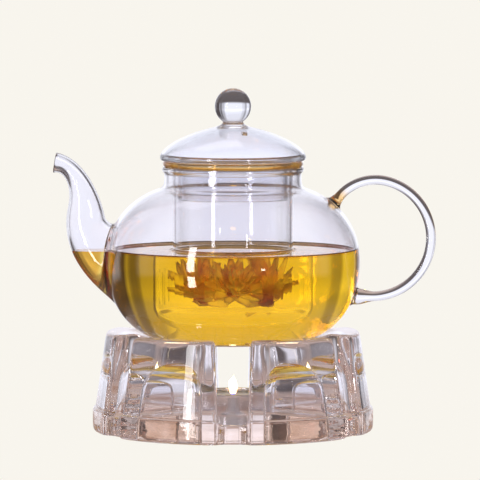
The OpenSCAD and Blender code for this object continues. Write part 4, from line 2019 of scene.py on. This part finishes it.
@dataclass
class Lid:
    """The lid: a dome with a collar below and a solid ball on a short stem above."""

    foot: float = 138.25
    glass: float = 2.0
    collar: float = 28.0
    collar_glass: float = 1.3
    collar_low: float = -19.7
    ball: float = 9.3
    ball_up: float = 27.9
    stem: float = 5.3
    rim: Cubic = Cubic((34.6, 0), (36.3, 0), (37.3, 0.6), (37.3, 1.8))
    dome: Cubic = Cubic((37.3, 1.8), (37.3, 6.2), (27, 13.6), (6, 18))
    vent: float = 1.5
    vent_at: Point = (5.8, -16.5)
    steps: int = 144

    def outline(self) -> list[Point]:
        """Returns the lid's outline, from the top of the ball round to the dome's lining."""
        join = math.degrees(math.asin(self.stem / self.ball))
        ball = arc((0.0, self.ball_up), self.ball, 90, -90 + join, 26)
        points = [(0.0, self.ball_up + self.ball), *ball[1:]]
        points += Cubic(ball[-1], (self.stem - 0.3, 19.7), (self.stem + 0.1, 18.6),
                        (self.stem + 2.7, 17.62)).run(7)
        dome = [self.dome.at(1 - i / 34) for i in range(35)]
        points += [p for p in dome if p[0] > self.stem + 3.2]
        points += [self.rim.at(1 - i / 6) for i in range(1, 7)]
        points += straight((self.rim.a[0], 0.0), (self.collar + 1.2, 0.0), 3)
        points += arc((self.collar + 0.8, -0.8), 0.8, 90, 180, 4)[1:]
        tip = self.collar_low + self.collar_glass / 2
        points += straight((self.collar, -0.8), (self.collar, tip), 6)
        inner = self.collar - self.collar_glass
        half = self.collar_glass / 2
        points += arc((self.collar - half, tip), half, 0, -180, 6)[1:]
        points += straight((inner, tip), (inner, self.glass - 0.6), 6)
        points += arc((inner + 0.6, self.glass - 0.6), 0.6, 180, 90, 4)[1:]
        lining = [p for p in self.dome.run(34, self.glass) if p[1] > self.glass + 0.9]
        low = lining[0]
        points += straight((inner + 0.6, self.glass), (low[0] - 0.9, self.glass), 4)
        points += arc((low[0] - 0.9, self.glass + 0.9), 0.9, -90, 0, 4)[1:-1]
        points += lining
        points += [(3.0, lining[-1][1] + 0.1), (0.0, lining[-1][1] + 0.12)]
        return raised(points, self.foot)

    def build(self) -> bpy.types.Object:
        """Turns the lid and drills its vent.

        Returns:
            The lid.
        """
        lid = turned("glass_lid", self.outline(), self.steps)
        drill = turned(
            "vent_drill", [(0.0, 4.0), (self.vent, 4.0), (self.vent, 26.0), (0.0, 26.0)], 24)
        drill.location = (self.vent_at[0] * MM, self.vent_at[1] * MM, self.foot * MM)
        settle(drill)
        combine(lid, drill, Cut.TAKE)
        merge_and_face_out(lid)
        return lid

    def dress(self) -> None:
        """Builds the lid and gives it its glass."""
        # Painted shade: the lid's glass is tinted greyer and bluer than the pot's, though it is
        # the same glass.
        glass = Glass("lid_glass_painted_shade", tint=(0.955, 0.96, 0.985), shade=(0.925, 0.935, 0.97),
                      waves=42.0, wave_depth=0.00003)
        placed(shaded(self.build(), 40), "lid",
               ["lid_dome", "lid_collar", "lid_knob"], [glass.make()])


# ---------------------------------------------------------------- studio


@dataclass
class Studio:
    """Pale floor, soft light and the camera."""

    view_distance: float = 2.2
    eye_height: float = 0.253
    aim: Spot = (0.0036, 0.0, 0.0977)
    frame_width: float = 0.2456
    cream: Colour = (0.94, 0.913, 0.85)
    light: Colour = (1.0, 1.01, 1.12)
    dark: Colour = (0.05, 0.035, 0.035)
    ground: Colour = (0.12, 0.1, 0.1)
    sky: Colour = (0.55, 0.55, 0.62)
    floor_light: Colour = (0.56, 0.44, 0.40)  # what the glass sees of the floor
    floor_radius: float = 1.2
    floor_height: float = -0.0004
    floor_fade: Point = (0.1, 0.22)
    lamp_aim: Spot = (0.0, 0.0, 0.09)
    white: Colour = (1.0, 0.99, 1.0)
    bluish: Colour = (0.96, 0.96, 1.0)
    sensor: float = 36.0
    bounces: int = 48  # fewer leave black patches where light is trapped in the stand
    bands: tuple[Point, ...] = (
        (-180, 0.22), (-150, 0.24), (-125, 0.16), (-108, 0.3), (-92, 0.6), (-84, 0.5), (-79, 0.05),
        (-58, 0.05), (-52, 0.95), (-38, 1.0), (-35.5, 0.42), (-30, 0.42), (-28, 0.75), (-22, 0.8),
        (-20, 1.0), (5, 1.0), (17, 1.0), (19.5, 0.55), (25.5, 0.5), (27, 0.15), (32, 0.15),
        (33, 0.42), (34.5, 0.42), (36, 0.03), (62, 0.03), (80, 0.12), (85, 0.5), (92, 0.55),
        (108, 0.25), (125, 0.14), (150, 0.22), (180, 0.22),
    )

    def camera(self) -> None:
        """Adds the camera, in front of the pot and a little above it."""
        eye = Vector((self.aim[0], -self.view_distance, self.eye_height))
        bpy.ops.object.camera_add(location=eye)
        camera = bpy.context.object
        way = Vector(self.aim) - eye
        camera.rotation_euler = way.to_track_quat("-Z", "Y").to_euler()
        camera.data.sensor_width = self.sensor
        camera.data.lens = self.sensor * way.length / self.frame_width
        camera.data.clip_start = 0.01
        bpy.context.scene.camera = camera

    def floor(self) -> None:
        """Adds a round pale floor that fades out towards its edge."""
        bpy.ops.mesh.primitive_circle_add(vertices=96, radius=self.floor_radius,
                                          fill_type="TRIFAN", location=(0, 0, self.floor_height))
        floor = bpy.context.object
        floor.name = "floor"
        settle(floor)
        m = Material("pale_floor")
        n = m.nodes
        ray = n.add("ShaderNodeLightPath").out("Is Camera Ray")
        away = n.add("ShaderNodeVectorMath", {"operation": "LENGTH"}, {0: n.place()}).out("Value")
        shown = n.blend(ray, n.emission(self.floor_light), n.emission(self.cream))
        clear = n.add("ShaderNodeBsdfTransparent").out()
        surface = n.blend(away.step(*self.floor_fade), shown, clear)
        floor.data.materials.append(m.finished(surface))

    def world(self) -> None:
        """Lights the scene from all round, with soft dark bands to the sides."""
        world = bpy.data.worlds.new("studio")
        world.use_nodes = True
        bpy.context.scene.world = world
        n = Nodes(world.node_tree)
        way = n.add("ShaderNodeTexCoord").out("Generated")
        split = n.add("ShaderNodeSeparateXYZ", None, {0: way})
        x, y, z = split.out(0), split.out(1), split.out(2)
        angle = x.math("ARCTAN2", x, y) * (180 / math.pi)
        stops = []
        for degrees, level in self.bands:
            shade = tuple(d + (b - d) * level for d, b in zip(self.dark, self.light))
            stops.append(((degrees + 180) / 360, shade))
        bands = n.ramp((angle + 180) / 360, stops)
        glow = 1 + 0.2 * (z.step(0.02, 0.1) - z.step(0.12, 0.17)) - 0.12 * z.step(0.17, 0.3)
        inputs = {0: bands, "Scale": glow}
        bands = n.add("ShaderNodeVectorMath", {"operation": "SCALE"}, inputs).out()
        around = n.mix(z.step(0.45, 0.8), bands, self.sky)
        around = n.mix((0 - z).step(0.12, 0.22), around, self.ground)
        ray = n.add("ShaderNodeLightPath").out("Is Camera Ray")
        colour = n.mix(ray, around, self.cream)
        back = n.add("ShaderNodeBackground", None, {"Color": colour, "Strength": 1.0}).out()
        n.add("ShaderNodeOutputWorld", None, {"Surface": back})

    def lamp(self, name: str, azimuth: float, elevation: float, distance: float,
             size: Point, power: float, colour: Colour) -> None:
        """Adds a rectangular soft light that faces the pot.

        Args:
            name: Name of the light.
            azimuth: Direction round the pot: 0 is the camera's side, 90 the handle's.
            elevation: Angle above the floor.
            distance: Distance from the pot, in metres.
            size: Width and height, in metres.
            power: Its power.
            colour: Its colour.
        """
        turn, rise = math.radians(azimuth), math.radians(elevation)
        aim = Vector(self.lamp_aim)
        place = Vector((math.sin(turn) * math.cos(rise), -math.cos(turn) * math.cos(rise),
                        math.sin(rise))) * distance + aim
        bpy.ops.object.light_add(type="AREA", location=place)
        lamp = bpy.context.object
        lamp.name = name
        lamp.data.shape = "RECTANGLE"
        lamp.data.size, lamp.data.size_y = size
        lamp.data.energy = power
        lamp.data.color = colour
        lamp.rotation_euler = (aim - place).to_track_quat("-Z", "Y").to_euler()
        lamp.visible_camera = False

    def build(self) -> None:
        """Sets up the whole studio."""
        scene = bpy.context.scene
        scene.view_settings.view_transform = "Standard"
        scene.cycles.max_bounces = self.bounces
        scene.cycles.transmission_bounces = self.bounces
        scene.cycles.glossy_bounces = self.bounces
        scene.cycles.transparent_max_bounces = 16
        self.camera()
        self.floor()
        self.world()
        self.lamp("window_left", -38, 10, 1.6, (0.19, 0.92), 6.4, self.white)
        self.lamp("window_left_low", -38, -16, 1.6, (0.19, 0.3), 2.1, self.white)
        self.lamp("window_right", 27, -3.7, 1.6, (0.09, 0.07), 0.22, self.white)
        self.lamp("skylight", 200, 62, 1.8, (0.9, 0.6), 1.5, self.bluish)


def main() -> None:
    """Builds the whole object, piece by piece."""
    logging.basicConfig(level=logging.INFO, format="%(message)s")
    log.info("studio")
    Studio().build()
    log.info("warmer stand")
    stand = Stand()
    stand.dress(stand.build())
    log.info("tealight")
    Tealight().dress()
    log.info("pot")
    pot = Pot()
    pot.dress()
    log.info("tea")
    Tea(pot).dress(TeaLiquid())
    log.info("infuser")
    Infuser().dress()
    log.info("flowers")
    Flowers().dress()
    log.info("lid")
    Lid().dress()


if __name__ == "__main__":
    main()
